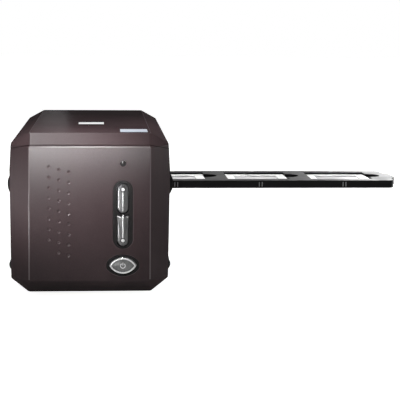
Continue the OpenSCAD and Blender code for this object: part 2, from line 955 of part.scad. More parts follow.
// Domed guide round the mouth of the slot, on the right-hand side
module slot_bezel() {
    nose = half_w + bezel_out;
    r = arc_r(bezel_h, bezel_out);
    w = holder_w + 2 * slot_gap + 2 * bezel_end;
    deep = 2 * bezel_out;
    difference() {
        union() {
            difference() {
                intersection() {
                    along_y(slot_y - w / 2, slot_y + w / 2)
                        translate([nose - r, slot_z + bezel_rise])
                            circle(r = r);
                    linear_extrude(z_top)
                        translate([nose + eps - deep, slot_y])
                            rounded(2 * deep, w, bezel_out);
                    block([half_w - bezel_out / 2, slot_y - w, 0], [nose + 1, slot_y + w, z_top]);
                }
                casing(0);
            }
            block(
                [side_in - 2, slot_y - sleeve_w / 2 + fit_gap, slot_z - sleeve_h / 2 + fit_gap],
                [half_w + eps, slot_y + sleeve_w / 2 - fit_gap, slot_z + sleeve_h / 2 - fit_gap]
            );
        }
        block(
            [0, slot_y - holder_w / 2 - slot_gap, holder_z0 - slot_gap],
            [nose + eps, slot_y + holder_w / 2 + slot_gap, holder_z1 + slot_gap]
        );
    }
}

module slot_bezel_right() {
    color([0.05, 0.05, 0.05])
        slot_bezel();
}

module slot_bezel_left() {
    color([0.05, 0.05, 0.05])
        mirror([1, 0, 0])
            slot_bezel();
}

module rubber_feet() {
    color([0.06, 0.06, 0.06])
        both_sides()
            for (y = [-half_d + foot_inset, half_d - foot_inset])
                translate([foot_gap_x / 2, y, 0])
                    cylinder(d = foot_d, h = foot_h + foot_pocket);
}

module side_bumpers() {
    r = arc_r(bumper_h, bumper_out);
    y = -half_d + bumper_from_front;
    color([0.08, 0.08, 0.08])
        both_sides()
            difference() {
                intersection() {
                    along_y(y - bumper_l / 2, y + bumper_l / 2)
                        translate([half_w - draft_bottom + bumper_out - r, z_bottom + bumper_z])
                            circle(r = r);
                    block([half_w - 5, y - bumper_l, 0], [half_w + 5, y + bumper_l, z_top]);
                }
                casing(0);
            }
}

module white_label() {
    color([0.9, 0.9, 0.9])
        translate([-white_w / 2, -half_d + white_from_front - white_l / 2, z_top])
            cube([white_w, white_l, label_t]);
}

module silver_label() {
    color([0.68, 0.71, 0.78])
        translate([silver_x - silver_w / 2, -half_d + silver_from_front - silver_l / 2, z_top])
            cube([silver_w, silver_l, label_t]);
}

// Front controls
module indicator_lens() {
    dome = 1;
    r = arc_r(lamp_d, dome);
    color([0.12, 0.1, 0.1])
        union() {
            intersection() {
                translate([control_x, -half_d + r - dome, lamp_z])
                    sphere(r = r);
                rod_y(lamp_d, control_x, lamp_z, -half_d - dome, -half_d + wall);
            }
            rod_y(lamp_d, control_x, lamp_z, -half_d, panel_in);
            rod_y(lamp_d + 1.4, control_x, lamp_z, panel_in, panel_in + 1);
        }
}

module scan_upper_outline(g = 0) {
    translate([control_x, upper_z])
        pill(scan_w + 2 * g, scan_up_h + 2 * g);
}

// The lower button's outline is hollowed round the upper button's end
module scan_lower_outline(g = 0) {
    difference() {
        union() {
            translate([control_x, scan_low + scan_w / 2])
                circle(r = scan_w / 2 + g);
            translate([control_x - scan_w / 2 - g, scan_low + scan_w / 2])
                square([scan_w + 2 * g, nest_z - scan_low - scan_w / 2]);
        }
        translate([control_x, nest_z])
            circle(r = nest_r - g);
    }
}

module power_outline(g = 0) {
    translate([control_x, power_z])
        eye(power_w, power_btn_h, g);
}

module scan_button_bezel() {
    color([0.1, 0.09, 0.09])
        difference() {
            union() {
                along_y(-half_d, -half_d + bezel_pocket)
                    scan_bezel_outline(-fit_gap);
                along_y(-half_d, bezel_back)
                    scan_bezel_outline(-bezel_ledge - fit_gap);
            }
            along_y(-half_d - eps, bezel_back + eps) {
                scan_upper_outline(button_gap);
                scan_lower_outline(button_gap);
            }
        }
}

module power_button_bezel() {
    color([0.1, 0.09, 0.09])
        difference() {
            along_y(-half_d, -half_d + bezel_pocket)
                power_bezel_outline(-fit_gap);
            along_y(-half_d - eps, bezel_back + eps)
                power_outline(button_gap);
        }
}

// Flange behind the bezel and plunger in the switch
module button_back(x, z) {
    along_y(flange_front, flange_back)
        children();
    rod_y(plunger_d, x, z, flange_back, switch_front + plunger_in);
}

// Button cap with a ridge along its height
module ridged_cap() {
    slope = (scan_out - scan_edge_out) / (scan_w / 2);
    intersection() {
        along_y(-half_d - scan_out, flange_front)
            children();
        linear_extrude(z_top)
            polygon([
                [control_x - scan_w, flange_front],
                [control_x - scan_w, -half_d - scan_out + slope * scan_w],
                [control_x, -half_d - scan_out],
                [control_x + scan_w, -half_d - scan_out + slope * scan_w],
                [control_x + scan_w, flange_front],
            ]);
    }
}

module scan_button_upper() {
    color([0.75, 0.75, 0.76]) {
        ridged_cap()
            scan_upper_outline();
        button_back(control_x, upper_z)
            scan_upper_outline(flange_grow);
    }
}

module scan_button_lower() {
    color([0.75, 0.75, 0.76]) {
        ridged_cap()
            scan_lower_outline();
        button_back(control_x, lower_z)
            scan_lower_outline(flange_grow);
    }
}

module power_button() {
    face = -half_d - power_out;
    color([0.7, 0.7, 0.71]) {
        difference() {
            along_y(face, flange_front)
                power_outline();
            along_y(face - eps, face + 0.3)
                power_outline(-power_rim);
        }
        button_back(control_x, power_z)
            power_outline(flange_grow);
    }
}

module switch_board() {
    color([0.1, 0.35, 0.2])
        difference() {
            block(
                [switch_board_x[0], switch_board_y, switch_board_z[0]],
                [switch_board_x[1], switch_board_y + board_t, switch_board_z[1]]
            );
            at_switch_screws()
                rod_y(screw2 + 2 * screw_gap, 0, 0, switch_board_y - eps, switch_board_y + board_t + eps);
        }
}

module tact_switches() {
    color([0.2, 0.2, 0.2])
        for (z = [upper_z, lower_z, power_z])
            difference() {
                translate([control_x - switch_size / 2, switch_front, z - switch_size / 2])
                    cube([switch_size, switch_t, switch_size]);
                rod_y(
                    plunger_d + 2 * plunger_gap, control_x, z,
                    switch_front - eps, switch_front + plunger_in + press + 0.3
                );
            }
}

module indicator_diode() {
    color([0.3, 0.7, 0.3])
        rod_y(3, control_x, lamp_z, panel_in + 1.3, switch_board_y);
}

// Main electronics
module main_board() {
    color([0.1, 0.35, 0.2])
        difference() {
            block([-board_x, board_front, board_z0], [board_x, board_rear, board_z1]);
            both_sides()
                for (y = board_hole_y)
                    translate([board_hole_x, y, board_z0 - eps])
                        cylinder(d = screw2 + 2 * screw_gap, h = board_t + 2 * eps);
        }
}

module chip(x, y, w, l, h) {
    translate([x - w / 2, y - l / 2, board_z1])
        cube([w, l, h]);
}

module board_chips() {
    color([0.12, 0.12, 0.13]) {
        chip(processor_x, chip_y, processor_size, processor_size, 1.8);
        for (i = [0, 1])
            chip(memory_x + i * memory_pitch, chip_y, memory_w, memory_l, 1.4);
        chip(driver_x, chip_y, driver_w, driver_l, 1.6);
    }
}

module board_capacitors() {
    color([0.25, 0.28, 0.4])
        for (i = [0, 1])
            translate([memory_x + i * memory_pitch, chip_y + capacitor_back, board_z1])
                cylinder(d = capacitor_d, h = capacitor_h);
}

module board_connectors() {
    color([0.85, 0.83, 0.75]) {
        block(
            [-cable_w / 2 - 2, board_front, board_z1],
            [cable_w / 2 + 2, board_front + connector_l, board_z1 + 4]
        );
        block(
            [control_x - cable_w / 2 - 2, switch_board_y + board_t, switch_board_z[0] + 1],
            [control_x + cable_w / 2 + 2, switch_board_y + board_t + 4, switch_board_z[0] + 6]
        );
    }
}

// Square socket with its tongue, facing back through the rear panel
module usb_socket() {
    mouth_w = 8.5;
    mouth_h = 7.8;
    y1 = half_d - 0.8;
    color([0.72, 0.72, 0.74])
        difference() {
            block([usb_x - usb_w / 2, y1 - usb_l, board_z1], [usb_x + usb_w / 2, y1, board_z1 + usb_h]);
            difference() {
                block(
                    [usb_x - mouth_w / 2, y1 - 9, board_z1 + (usb_h - mouth_h) / 2],
                    [usb_x + mouth_w / 2, y1 + eps, board_z1 + (usb_h + mouth_h) / 2]
                );
                block(
                    [usb_x - 2.8, y1 - 9 - eps, board_z1 + usb_h / 2 - 1.6],
                    [usb_x + 2.8, y1 - 1, board_z1 + usb_h / 2 + 1.6]
                );
            }
        }
}

module power_jack() {
    y1 = half_d - 0.8;
    z = board_z1 + usb_h / 2;
    color([0.08, 0.08, 0.08])
        difference() {
            block([jack_x - jack_w / 2, y1 - jack_l, board_z1], [jack_x + jack_w / 2, y1, board_z1 + usb_h]);
            difference() {
                rod_y(jack_bore, jack_x, z, y1 - 9.5, y1 + eps);
                rod_y(2, jack_x, z, y1 - 9.5 - eps, y1 - 1);
            }
        }
}

// Chassis and film gate
module chassis() {
    left = -rod_x - bush_block / 2;
    right = screw_x + 8;
    color([0.62, 0.63, 0.65])
        difference() {
            union() {
                block(
                    [-post_x - 2.5, front_flange, plate_z],
                    [post_x + 2.5, rear_flange + sheet_t, plate_z1]
                );
                for (y = [front_flange, rear_flange])
                    block([left, y, plate_z], [right, y + sheet_t, flange_z1]);
                block(
                    [motor_x - motor_d / 2 - 5, rear_flange, plate_z],
                    [right, rear_flange + sheet_t, motor_z + motor_d / 2 - 2]
                );
            }
            for (x = [-rod_x, rod_x])
                rod_y(rod_d + 2 * fit_gap, x, rod_z, front_flange - eps, rear_flange + sheet_t + eps);
            rod_y(
                bearing_d + 2 * fit_gap, screw_x, rod_z,
                front_flange - eps, rear_flange + sheet_t + eps
            );
            rod_y(8, motor_x, motor_z, rear_flange - eps, rear_flange + sheet_t + eps);
            block(
                [-cable_w / 2 - 2, rear_flange - eps, plate_z1],
                [cable_w / 2 + 2, rear_flange + sheet_t + eps, plate_z1 + 7]
            );
            both_sides()
                for (y = chassis_screw_y)
                    translate([chassis_screw_x, y, plate_z - eps])
                        cylinder(d = screw3 + 2 * screw_gap, h = sheet_t + 2 * eps);
            both_sides()
                for (y = [gate_near + rail_w / 2, gate_far - rail_w / 2])
                    translate([post_x, y, plate_z - eps])
                        cylinder(d = peg_d + 2 * fit_gap, h = sheet_t + 2 * eps);
        }
}

module guide_rods() {
    color([0.8, 0.8, 0.82])
        for (x = [-rod_x, rod_x])
            rod_y(rod_d, x, rod_z, front_flange - 2, rear_flange + sheet_t);
}

module gate_posts() {
    color([0.75, 0.62, 0.32])
        both_sides()
            for (y = [gate_near + rail_w / 2, gate_far - rail_w / 2])
                translate([post_x, y, 0]) {
                    translate([0, 0, plate_z1])
                        cylinder(d = post_d, h = gate_z0 - plate_z1);
                    translate([0, 0, plate_z])
                        cylinder(d = peg_d, h = gate_z0 - plate_z + gate_t);
                }
}

module film_gate() {
    window_x = picture_w / 2 + 3;
    window_y = slide_size / 2 - 2;
    color([0.07, 0.07, 0.07])
        difference() {
            block([-gate_x, gate_near, gate_z0], [gate_x, gate_far, rail_z1]);
            block(
                [-gate_x - eps, gate_near + rail_w, gate_z1],
                [gate_x + eps, gate_far - rail_w, rail_z1 + eps]
            );
            block(
                [-window_x, slot_y - window_y, gate_z0 - eps],
                [window_x, slot_y + window_y, gate_z1 + eps]
            );
            block([-14, gate_far - rail_w - eps, gate_z1], [14, gate_far - 1, rail_z1 + eps]);
            both_sides()
                for (y = [gate_near + rail_w / 2, gate_far - rail_w / 2])
                    translate([post_x, y, gate_z0 - eps])
                        cylinder(d = peg_d + 2 * fit_gap, h = gate_t + 2 * eps);
        }
}

// Leaf spring in the far rail, with a nose that clicks into the holder's notches
module detent_spring() {
    back = gate_far - 1;
    tip = slot_y + holder_w / 2 - notch_depth + 0.4;
    arm = [for (s = [-1, 1]) [s * 13.5, back]];
    color([0.82, 0.82, 0.84])
        translate([0, 0, slot_z - 2])
            linear_extrude(4)
                union() {
                    polygon([
                        arm[0], [-5, tip + 2.4], [0, tip + 1.2], [5, tip + 2.4], arm[1],
                        arm[1] - [2, 0], [5 - spring_t, tip + 2.4 + spring_t],
                        [0, tip + 1.2 + spring_t], [-5 + spring_t, tip + 2.4 + spring_t],
                        arm[0] + [2, 0],
                    ]);
                    difference() {
                        translate([0, tip + nose_r])
                            circle(r = nose_r);
                        translate([-nose_r - eps, tip + nose_r])
                            square([2 * nose_r + 2 * eps, nose_r + eps]);
                    }
                }
}

// Drive
module drive_motor() {
    color([0.55, 0.56, 0.58])
        difference() {
            union() {
                rod_y(motor_d, motor_x, motor_z, motor_y0, motor_y1);
                block(
                    [motor_x - motor_d / 2 - 4, motor_y0, motor_z - 4],
                    [motor_x + motor_d / 2 + 4, motor_y0 + 1, motor_z + 4]
                );
            }
            rod_y(motor_shaft_d + 2 * shaft_gap, motor_x, motor_z, motor_y0 - eps, motor_y1 - 2);
        }
}

module screw_bearings() {
    color([0.7, 0.55, 0.3])
        for (y = [front_flange, rear_flange + sheet_t - bearing_l])
            difference() {
                rod_y(bearing_d, screw_x, rod_z, y, y + bearing_l);
                rod_y(journal_d + 2 * shaft_gap, screw_x, rod_z, y - eps, y + bearing_l + eps);
            }
}

module lead_screw() {
    y0 = front_flange + bearing_l + 0.3;
    y1 = rear_flange + sheet_t - bearing_l - 0.3;
    color([0.78, 0.78, 0.8]) {
        rod_y(screw_d, screw_x, rod_z, y0, y1);
        rod_y(journal_d, screw_x, rod_z, front_flange + 0.5, rear_flange + sheet_t - 0.5);
    }
}

// Spur gear outline with teeth centred on the angles that start at turn
function tooth_half_angle(teeth, r) =
    let (
        pitch_r = gear_module * teeth / 2,
        base_r = pitch_r * cos(20),
        pressure = acos(base_r / max(r, base_r)),
        spread = (tan(20) - 20 * PI / 180) - (tan(pressure) - pressure * PI / 180)
    )
    90 / teeth - (backlash / 2 / pitch_r - spread) * 180 / PI;

function gear_points(teeth, turn) =
    let (
        pitch_r = gear_module * teeth / 2,
        root = pitch_r - 1.35 * gear_module,
        tip = pitch_r + 0.8 * gear_module,
        steps = 5,
        radii = [for (i = [0 : steps]) root + (tip - root) * i / steps]
    )
    [
        for (k = [0 : teeth - 1])
            let (middle = turn + k * 360 / teeth)
            for (side = [-1, 1])
                for (i = [0 : steps])
                    let (
                        r = radii[side < 0 ? i : steps - i],
                        a = middle + side * tooth_half_angle(teeth, r)
                    )
                    r * [cos(a), sin(a)]
    ];

module screw_gear() {
    color([0.85, 0.84, 0.8])
        difference() {
            along_y(gear_y0, gear_y1)
                translate([screw_x, rod_z])
                    polygon(gear_points(screw_teeth, gear_angle + 180 / screw_teeth));
            rod_y(screw_d + 2 * fit_gap, screw_x, rod_z, gear_y0 - eps, gear_y1 + eps);
        }
}

module motor_shaft() {
    color([0.8, 0.8, 0.82])
        rod_y(motor_shaft_d, motor_x, motor_z, gear_y0, motor_y1 - 2.3);
}

module motor_pinion() {
    color([0.8, 0.7, 0.4])
        difference() {
            along_y(gear_y0, gear_y1)
                translate([motor_x, motor_z])
                    polygon(gear_points(pinion_teeth, gear_angle + 180));
            rod_y(motor_shaft_d + 2 * fit_gap, motor_x, motor_z, gear_y0 - eps, gear_y1 + eps);
        }
}

// Slotted sensor that the carriage's flag stands in at home
module home_sensor() {
    color([0.1, 0.1, 0.1])
        difference() {
            block([home_x - 4, flag_y - 6, plate_z1], [home_x + 4, flag_y + 6, carriage_z0 + 1]);
            block(
                [home_x - 1.2, flag_y - 6 - eps, plate_z1 + 2],
                [home_x + 1.2, flag_y + 6 + eps, carriage_z0 + 2]
            );
        }
}

// Flat cable from the carriage to the main board
module sensor_ribbon() {
    z_end = board_z1 + 2;
    y0 = carriage_rear + 0.3;
    z0 = carriage_z0 + carriage_floor_t / 2;
    route = [
        [y0, z0],
        [y0 + 8, z0],
        [y0 + 16, plate_z1 + 3],
        [rear_flange - 4, plate_z1 + 2],
        [rear_flange + 8, plate_z1 + 2],
        [board_front - 6, z_end],
        [board_front, z_end],
    ];
    color([0.9, 0.9, 0.88])
        along_x(-cable_w / 2, cable_w / 2)
            polygon(concat(
                route,
                [for (i = [len(route) - 1 : -1 : 0]) route[i] + [0, cable_t]]
            ));
}

// Flat cable from the switch board to the main board
module switch_cable() {
    y0 = switch_board_y + board_t + 4;
    y1 = board_front + connector_l;
    z0 = switch_board_z[0] + 3;
    turn = front_seam + lip_h + 2;
    low = floor_z;
    color([0.55, 0.55, 0.58])
        along_x(control_x - cable_w / 2, control_x + cable_w / 2)
            polygon([
                [y0, z0],
                [turn, z0],
                [turn, low],
                [y1, low],
                [y1, board_z0],
                [y1 - cable_t, board_z0],
                [y1 - cable_t, low + cable_t],
                [turn + cable_t, low + cable_t],
                [turn + cable_t, z0 + cable_t],
                [y0, z0 + cable_t],
            ]);
}

// Screws
module screw_z(d, head_d, head_t, length) {
    cylinder(d = head_d, h = head_t);
    translate([0, 0, -length])
        cylinder(d = d, h = length);
}

module casing_screws() {
    color([0.6, 0.6, 0.62])
        both_sides()
            for (y = tube_y)
                translate([tube_x, y, tube_seat])
                    mirror([0, 0, 1])
                        screw_z(screw3, head3_d, head3_t, casing_screw_l);
}

module chassis_screws() {
    color([0.6, 0.6, 0.62])
        both_sides()
            for (y = chassis_screw_y)
                translate([chassis_screw_x, y, plate_z1])
                    screw_z(screw3, head3_d, head3_t, chassis_lift + sheet_t - 1.5);
}

module board_screws() {
    color([0.6, 0.6, 0.62]) {
        both_sides()
            for (y = board_hole_y)
                translate([board_hole_x, y, board_z1])
                    screw_z(screw2, head2_d, head2_t, board_screw_l);
        at_switch_screws()
            translate([0, switch_board_y + board_t, 0])
                rotate([-90, 0, 0])
                    screw_z(screw2, head2_d, head2_t, board_screw_l);
    }
}

// Scanning carriage
module carriage_frame() {
    tail = carriage_rear - bush_l - 2;
    top_front = [scan_y - mirror_run - mirror_back, axis_z + mirror_run - mirror_back];
    low_rear = [scan_y + mirror_run - mirror_back, axis_z - mirror_run - mirror_back];
    color([0.16, 0.16, 0.17])
        difference() {
            union() {
                block(
                    [-rod_x - bush_block / 2, carriage_front, carriage_z0],
                    [rod_x + bush_block / 2, carriage_rear, carriage_floor]
                );
                for (x = [-rod_x, rod_x])
                    for (y = [carriage_front, tail])
                        block(
                            [x - bush_block / 2, y, carriage_z0],
                            [x + bush_block / 2, y + bush_l + 2, carriage_z0 + bush_block]
                        );
                difference() {
                    block([-box_x, carriage_front, carriage_z0], [box_x, carriage_rear, lid_z0]);
                    block(
                        [-box_x + box_wall, carriage_front + box_wall, carriage_floor],
                        [box_x - box_wall, mast_front, lid_z0 + eps]
                    );
                }
                block([-box_x, mast_front, carriage_z0], [box_x, carriage_rear, lamp_z0]);
                along_x(-box_x, box_x)
                    polygon([
                        top_front, [top_front[0], carriage_z0], [low_rear[0], carriage_z0], low_rear,
                    ]);
                block(
                    [-barrel_d / 2 - 2, barrel_front + 3, carriage_z0],
                    [barrel_d / 2 + 2, barrel_front + barrel_l - 3, axis_z - barrel_d / 4]
                );
                block(
                    [home_x - 0.5, flag_y - 4, carriage_z0 - 3],
                    [home_x + 0.5, flag_y + 4, carriage_floor]
                );
                block(
                    [home_x - 0.5, flag_y - 4, carriage_z0 + 2],
                    [-rod_x, flag_y + 4, carriage_floor]
                );
            }
            for (x = [-rod_x, rod_x])
                rod_y(bush_d + 2 * fit_gap, x, rod_z, carriage_front - eps, carriage_rear + eps);
            rod_y(
                barrel_d + 2 * fit_gap, 0, axis_z,
                barrel_front - eps, barrel_front + barrel_l + eps
            );
        }
}

module carriage_lid() {
    slit_x = box_x - box_wall - 1;
    color([0.13, 0.13, 0.14])
        difference() {
            block([-box_x, carriage_front, lid_z0], [box_x, mast_front, lid_z1]);
            block(
                [-slit_x, scan_y - slit_w / 2, lid_z0 - eps],
                [slit_x, scan_y + slit_w / 2, lid_z1 + eps]
            );
        }
}

module carriage_bushings() {
    color([0.7, 0.55, 0.3])
        for (x = [-rod_x, rod_x])
            for (y = [carriage_front + 1, carriage_rear - bush_l - 1])
                difference() {
                    rod_y(bush_d, x, rod_z, y, y + bush_l);
                    rod_y(rod_d + 2 * shaft_gap, x, rod_z, y - eps, y + bush_l + eps);
                }
}

module drive_nut() {
    y = (carriage_front + carriage_rear) / 2;
    color([0.9, 0.89, 0.85])
        difference() {
            block(
                [screw_x - nut_w / 2, y - nut_l / 2, carriage_z0],
                [screw_x + nut_w / 2, y + nut_l / 2, rod_z + nut_w / 2]
            );
            rod_y(screw_d + 2 * shaft_gap, screw_x, rod_z, y - nut_l, y + nut_l);
        }
}

module scan_mirror() {
    color([0.75, 0.78, 0.82])
        translate([0, scan_y, axis_z])
            rotate([-45, 0, 0])
                translate([-box_x + box_wall, -mirror_l / 2, -mirror_t])
                    cube([2 * (box_x - box_wall), mirror_l, mirror_t]);
}

module lens_barrel() {
    color([0.1, 0.1, 0.1])
        difference() {
            rod_y(barrel_d, 0, axis_z, barrel_front, barrel_front + barrel_l);
            rod_y(lens_d + 2 * fit_gap, 0, axis_z, barrel_front - eps, barrel_front + barrel_l + eps);
        }
}

// Two lens elements with one curved face each
module lens_elements() {
    bulge = 1;
    r = (lens_d * lens_d / 4 + bulge * bulge) / (2 * bulge);
    color([0.7, 0.8, 0.85, 0.5])
        for (end = [0, 1])
            intersection() {
                rod_y(
                    lens_d, 0, axis_z,
                    barrel_front + 2 + end * (barrel_l - lens_t - 4),
                    barrel_front + 2 + lens_t + end * (barrel_l - lens_t - 4)
                );
                translate([
                    0,
                    end == 0 ? barrel_front + 2 + r : barrel_front + barrel_l - 2 - r,
                    axis_z,
                ])
                    sphere(r = r, $fn = 240);
            }
}

module sensor_board() {
    half = box_x - box_wall - 0.5;
    color([0.1, 0.35, 0.2])
        block(
            [-half, sensor_board_y, carriage_floor],
            [half, sensor_board_y + board_t, axis_z + sensor_rise]
        );
}

module image_sensor() {
    half = box_x - box_wall - 2;
    color([0.35, 0.3, 0.3])
        block(
            [-half, sensor_board_y - sensor_t, axis_z - sensor_h / 2],
            [half, sensor_board_y, axis_z + sensor_h / 2]
        );
}

module lamp_housing() {
    color([0.14, 0.14, 0.15])
        difference() {
            block([-box_x, lamp_front, lamp_z0], [box_x, carriage_rear, lamp_z1]);
            block(
                [-box_x + diffuser_rim, scan_y - diffuser_w / 2, lamp_z0 - eps],
                [box_x - diffuser_rim, scan_y + diffuser_w / 2, lamp_z0 + diffuser_t]
            );
            block(
                [-box_x + cavity_rim, scan_y - cavity_w / 2, lamp_z0],
                [box_x - cavity_rim, scan_y + cavity_w / 2, lamp_z1 - lamp_roof]
            );
        }
}

module lamp_diffuser() {
    color([0.95, 0.95, 0.92])
        block(
            [-box_x + diffuser_rim + fit_gap, scan_y - diffuser_w / 2 + fit_gap, lamp_z0],
            [box_x - diffuser_rim - fit_gap, scan_y + diffuser_w / 2 - fit_gap, lamp_z0 + diffuser_t]
        );
}

module lamp_board() {
    led_z = lamp_z1 - lamp_roof - board_t;
    color([0.9, 0.9, 0.85]) {
        block(
            [-box_x + lamp_board_rim, scan_y - lamp_board_w / 2, led_z],
            [box_x - lamp_board_rim, scan_y + lamp_board_w / 2, led_z + board_t]
        );
        for (i = [0 : led_count - 1])
            translate([i * led_pitch - led_reach - led_w / 2, scan_y - led_w / 2, led_z - led_t])
                cube([led_w, led_w, led_t]);
    }
}

// Slide holder
module at_slides() {
    for (i = [0 : slide_count - 1])
        translate([i * slide_pitch, slot_y, 0])
            children();
}

module holder_frame() {
    opening_y = pocket_size / 2 - slide_lip;
    color([0.06, 0.06, 0.06])
        difference() {
            translate([holder_x0 + holder_l / 2, slot_y, holder_z0])
                linear_extrude(holder_t) {
                    rounded(holder_l, holder_w, holder_corner);
                    polygon([
                        for (s = [-1, 1])
                            for (p = [[0, -tab_root], [tab_out, -tab_tip], [tab_out, tab_tip], [0, tab_root]])
                                s * [holder_l / 2 + p[0], p[1] / 2],
                    ]);
                }
            at_slides() {
                block(
                    [-pocket_size / 2, -pocket_size / 2, pocket_z0],
                    [pocket_size / 2, pocket_size / 2, pocket_z1]
                );
                block(
                    [-pocket_size / 2, -opening_y, pocket_z0],
                    [pocket_size / 2, opening_y, holder_z1 + eps]
                );
                block(
                    [-picture_w / 2 - 2, -picture_h / 2 - 4, holder_z0 - eps],
                    [picture_w / 2 + 2, picture_h / 2 + 4, pocket_z1]
                );
                translate([pocket_size / 2, 0, holder_z1 - scoop_depth])
                    cylinder(d = scoop_d, h = scoop_depth + eps);
                translate([0, holder_w / 2 + notch_r - notch_depth, holder_z0 - eps])
                    cylinder(r = notch_r, h = holder_t + 2 * eps);
            }
        }
}

module holder_marks() {
    color([0.75, 0.75, 0.74])
        at_slides()
            for (s = [-1, 1])
                translate([
                    s * mark_gap / 2 - mark_w / 2,
                    -holder_w / 2 - mark_t,
                    slot_z - mark_h / 2,
                ])
                    cube([mark_w, mark_t, mark_h]);
}

// Film in the middle of a mount's thickness
module film_sheet() {
    translate([0, 0, pocket_z0 + slide_t / 2])
        cube([picture_w + 2 * picture_margin, picture_h + 2 * picture_margin, film_t], center = true);
}

module slide_mounts() {
    color([0.95, 0.95, 0.94])
        at_slides()
            difference() {
                translate([-slide_size / 2, -slide_size / 2, pocket_z0])
                    cube([slide_size, slide_size, slide_t]);
                block(
                    [-picture_w / 2, -picture_h / 2, pocket_z0 - eps],
                    [picture_w / 2, picture_h / 2, pocket_z1 + eps]
                );
                film_sheet();
            }
}

module slide_films() {
    color([0.42, 0.43, 0.44])
        at_slides()
            film_sheet();
}

base_tub();
screw_wells();
floor_bosses();
top_cover();
front_panel();
rear_panel();
slot_bezel_left();
slot_bezel_right();
rubber_feet();
side_bumpers();
white_label();
silver_label();
indicator_lens();
scan_button_bezel();
power_button_bezel();
switch_board();
tact_switches();
indicator_diode();
main_board();
board_chips();
board_capacitors();
board_connectors();
usb_socket();
power_jack();
chassis();
guide_rods();
gate_posts();
film_gate();
detent_spring();
drive_motor();
screw_bearings();
home_sensor();
sensor_ribbon();
switch_cable();
casing_screws();
chassis_screws();
board_screws();
carriage_frame();
carriage_lid();
carriage_bushings();
drive_nut();
scan_mirror();
lens_barrel();
lens_elements();
sensor_board();
image_sensor();
lamp_housing();
lamp_diffuser();
lamp_board();
lead_screw();
screw_gear();
motor_shaft();
motor_pinion();
holder_frame();
holder_marks();
slide_mounts();
slide_films();
scan_button_upper();
scan_button_lower();
power_button();
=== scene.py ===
import itertools
import json
import math

import bmesh
import bpy
from mathutils import Matrix, Quaternion, Vector


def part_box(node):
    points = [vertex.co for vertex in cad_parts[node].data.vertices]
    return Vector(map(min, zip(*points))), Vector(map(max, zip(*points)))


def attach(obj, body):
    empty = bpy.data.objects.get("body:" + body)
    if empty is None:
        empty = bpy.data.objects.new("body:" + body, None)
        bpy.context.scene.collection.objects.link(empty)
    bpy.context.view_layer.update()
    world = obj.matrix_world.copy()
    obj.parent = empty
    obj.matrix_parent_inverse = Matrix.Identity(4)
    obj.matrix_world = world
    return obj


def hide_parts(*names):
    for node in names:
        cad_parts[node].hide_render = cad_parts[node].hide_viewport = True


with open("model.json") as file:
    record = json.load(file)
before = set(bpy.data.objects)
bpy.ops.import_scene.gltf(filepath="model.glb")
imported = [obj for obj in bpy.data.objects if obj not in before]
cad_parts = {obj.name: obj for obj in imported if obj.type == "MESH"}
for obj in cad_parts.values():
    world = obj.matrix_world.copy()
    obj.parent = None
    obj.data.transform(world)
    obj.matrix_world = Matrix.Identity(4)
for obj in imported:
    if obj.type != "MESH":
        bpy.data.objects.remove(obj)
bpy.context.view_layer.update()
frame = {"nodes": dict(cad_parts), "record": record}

MM = 0.001
nodes = frame["nodes"]
scene = bpy.context.scene

# Sizes shared with the solids, in millimetres
HALF_W, HALF_D = 60.0, 136.0
Z_BOTTOM, Z_TOP = 1.2, 121.2
FACE_W, REAR_W, TOP_W, BOTTOM_W = 89.4, 102.0, 90.8, 92.2
FRONT_SPLIT, REAR_SPLIT = -118.6, 124.0
FACE_Z0, FACE_Z1 = 12.5, 112.5
REAR_Z0, REAR_Z1 = 8.2, 114.7
WIDEST_Z = 93.55
TOP_CHAMFER, BOTTOM_CHAMFER = 7.4, 10.3
DRAFT_TOP, DRAFT_BOTTOM = 1.2, 1.1
CORNER_CUT = 0.4

# Casing shell: radii and gaps in millimetres, angles in degrees, directions as cosines, welds in metres
EDGE_R, HOLE_EDGE = 1.4, 0.5
SHELL_SHRINK, PLANE_GAP, ON_FACE = 0.01, 0.04, 0.01
ROUND_STEPS = 8
FLAT_COS = math.cos(math.radians(0.5))
EDGE_COS = math.cos(math.radians(35.0))
SIDE_COS = math.cos(math.radians(20.0))
SLOPED_MIN, SLOPED_MAX, WALL_COS = 0.25, 0.97, 0.1
SAME_DIRECTION, SAME_PLANE, ON_CORNER = 0.999999, 1e-4, 2e-3
LEAST_DETERMINANT = 1e-6
NODE_WELD, CUT_WELD = 1e-6, 2e-6
NODE_FLATTEN, TOOL_FLATTEN, CUT_FLATTEN = 0.3, 0.1, 0.05
CASING_SMOOTH, PIECE_SMOOTH = 24.0, 40.0
BEVEL_ANGLE = 32.0

# Buttons, in millimetres, with depths below the crest and directions as cosines
CONTROL_X = 24.4
CAP_FACING, WALL_FACING = 0.8, 0.3
SCAN_OUT, SCAN_W, CAP_BACK = 2.4, 8.5, -134.0
SCAN_EDGE, RIDGE_EDGE, RIDGE_W = 1.6, 0.7, 0.7
CREST_OUT, ON_CREST = 0.5, 0.01
PAD_R, PAD_CHAMFER, PAD_CENTRE_R = 1.9, 0.15, 0.2
PAD_FOOT, PAD_SHOULDER, PAD_TOP = 0.9, 0.25, 0.12
DOT_R, DOT_FROM_END = 1.3, 5.4
DOT_FOOT, DOT_SHOULDER, DOT_CROWN = 0.3, 0.12, 0.04
TURN_STEPS, RIDGE_STEPS, ARC_STEPS, EYE_STEPS = 32, 8, 36, 24
POWER_W, POWER_H, POWER_RIM, POWER_CHAMFER = 20.2, 12.1, 1.3, 1.0
POWER_OUT, POWER_DISH, POWER_SINK, POWER_DOME = 1.8, 0.3, 0.7, 0.9
ON_DISH, RIM_OUT, FACE_LIFT = 0.01, 0.1, 0.05
FACE_RINGS = (1.0, 0.9, 0.75, 0.6, 0.45, 0.3, 0.15)

